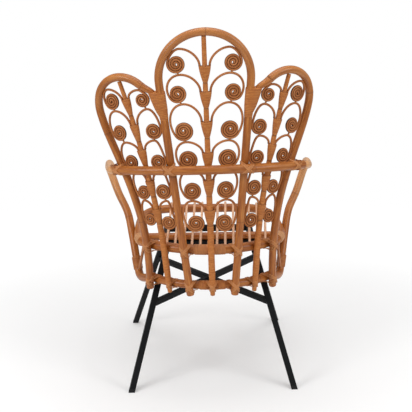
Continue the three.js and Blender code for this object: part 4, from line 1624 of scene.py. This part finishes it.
def steelPiece(name, node, finish):
    mesh = bmesh.new()
    mesh.from_mesh(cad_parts[node].data)
    bmesh.ops.remove_doubles(mesh, verts=mesh.verts, dist=steel["sameSpot"])
    bmesh.ops.dissolve_limit(
        mesh, angle_limit=steel["flatTurn"], verts=mesh.verts, edges=mesh.edges
    )
    for least, most, offset in (
        (steel["longEdge"], math.inf, steel["longRound"]),
        (steel["leastEdge"], steel["longEdge"], steel["shortRound"]),
    ):
        edges = [
            edge for edge in mesh.edges
            if least < edge.calc_length() <= most and len(edge.link_faces) == 2
            and edge.calc_face_angle() > steel["sharpTurn"]
        ]
        bmesh.ops.bevel(
            mesh, geom=edges, affect="EDGES", offset=offset, segments=steel["segments"],
            profile=0.5, material=-1, clamp_overlap=True
        )
    finishPiece(mesh, name, finish, [node], scale=1)


steelPiece("topFrame", "top_frame", blackSteel)
for side in ("left", "right"):
    steelPiece(f"{side}Stretcher", f"{side}_rear_stretcher", blackSteel)
    for end in ("rear", "front"):
        name, node = f"{end}{side.title()}", f"{end}_{side}"
        steelPiece(f"{name}Leg", f"{node}_leg", blackSteel)
        steelPiece(f"{name}Glide", f"{node}_glide", blackPlastic)
print("base made")


# floor and light

studio = {
    "floorSize": 12,
    "floorColour": (0.8, 0.8, 0.8, 1),
    "floorLift": 0.15,
    "floorLiftGrowth": 0.15,
    "clearFrom": 1.1,
    "clearTo": 1.9,
    "world": 0.42,
    # each lamp: name, place, what it points at, side and power
    "lamps": (
        ("overhead", (0, 0.2, 3.2), (0, 0, 0.4), 2.2, 40),
        ("left", (2.3, 1.8, 1.8), (0, 0, 0.7), 1.2, 34),
        ("right", (-2.3, 1.6, 1.9), (0, 0, 0.7), 1.2, 24),
    ),
}
white = (1, 1, 1, 1)


def floorFinish():
    finish = Finish("floorPaper")
    path = finish.add("ShaderNodeLightPath")  # its first output is Is Camera Ray
    glossy = Term(finish, path.socket.node.outputs["Is Glossy Ray"])
    seen = finish.maths("MAXIMUM", path, glossy)
    diffuse = finish.add("ShaderNodeBsdfDiffuse", {}, {"Color": studio["floorColour"]})
    place = finish.add("ShaderNodeTexCoord", output=3)
    far = finish.add("ShaderNodeVectorMath", {"operation": "LENGTH"}, {0: place}, 1)
    # the paper is lifted where the lamps fade, and goes over into the white round it
    strength = seen * (studio["floorLift"] + far * far * studio["floorLiftGrowth"])
    lift = finish.add("ShaderNodeEmission", {}, {"Color": white, "Strength": strength})
    both = finish.add("ShaderNodeAddShader", {}, {0: diffuse, 1: lift})
    faded = finish.limit((far - studio["clearFrom"]) / (studio["clearTo"] - studio["clearFrom"]))
    clear = finish.add("ShaderNodeBsdfTransparent", {}, {"Color": white})
    whole = finish.add("ShaderNodeMixShader", {}, {0: faded, 1: both, 2: clear})
    finish.add("ShaderNodeOutputMaterial", {}, {"Surface": whole})
    return finish.owner


def makeFloor():
    mesh = bmesh.new()
    bmesh.ops.create_grid(mesh, x_segments=1, y_segments=1, size=studio["floorSize"])
    data = bpy.data.meshes.new("floor")
    mesh.to_mesh(data)
    mesh.free()
    data.materials.append(floorFinish())
    floor = bpy.data.objects.new("floor", data)
    bpy.context.scene.collection.objects.link(floor)


# a plain level of light on the chair, and white where the camera looks past it
def makeWorld():
    sky = Finish("studio", bpy.data.worlds)
    path = sky.add("ShaderNodeLightPath")
    through = Term(sky, path.socket.node.outputs["Is Transmission Ray"])
    plain = sky.add("ShaderNodeBackground", {}, {"Color": white, "Strength": studio["world"]})
    bright = sky.add("ShaderNodeBackground", {}, {"Color": white})
    seen = sky.maths("MAXIMUM", path, through)
    both = sky.add("ShaderNodeMixShader", {}, {0: seen, 1: plain, 2: bright})
    sky.add("ShaderNodeOutputWorld", {}, {"Surface": both})
    bpy.context.scene.world = sky.owner


def makeLamp(name, place, target, size, power):
    data = bpy.data.lights.new(name, "AREA")
    data.shape = "SQUARE"
    data.size = size
    data.energy = power
    lamp = bpy.data.objects.new(name, data)
    bpy.context.scene.collection.objects.link(lamp)
    lamp.location = place
    lamp.rotation_euler = (Vector(target) - Vector(place)).to_track_quat("-Z", "Y").to_euler()


makeFloor()
makeWorld()
for lamp in studio["lamps"]:
    makeLamp(*lamp)
bpy.context.scene.view_settings.view_transform = "Standard"
print("studio made")
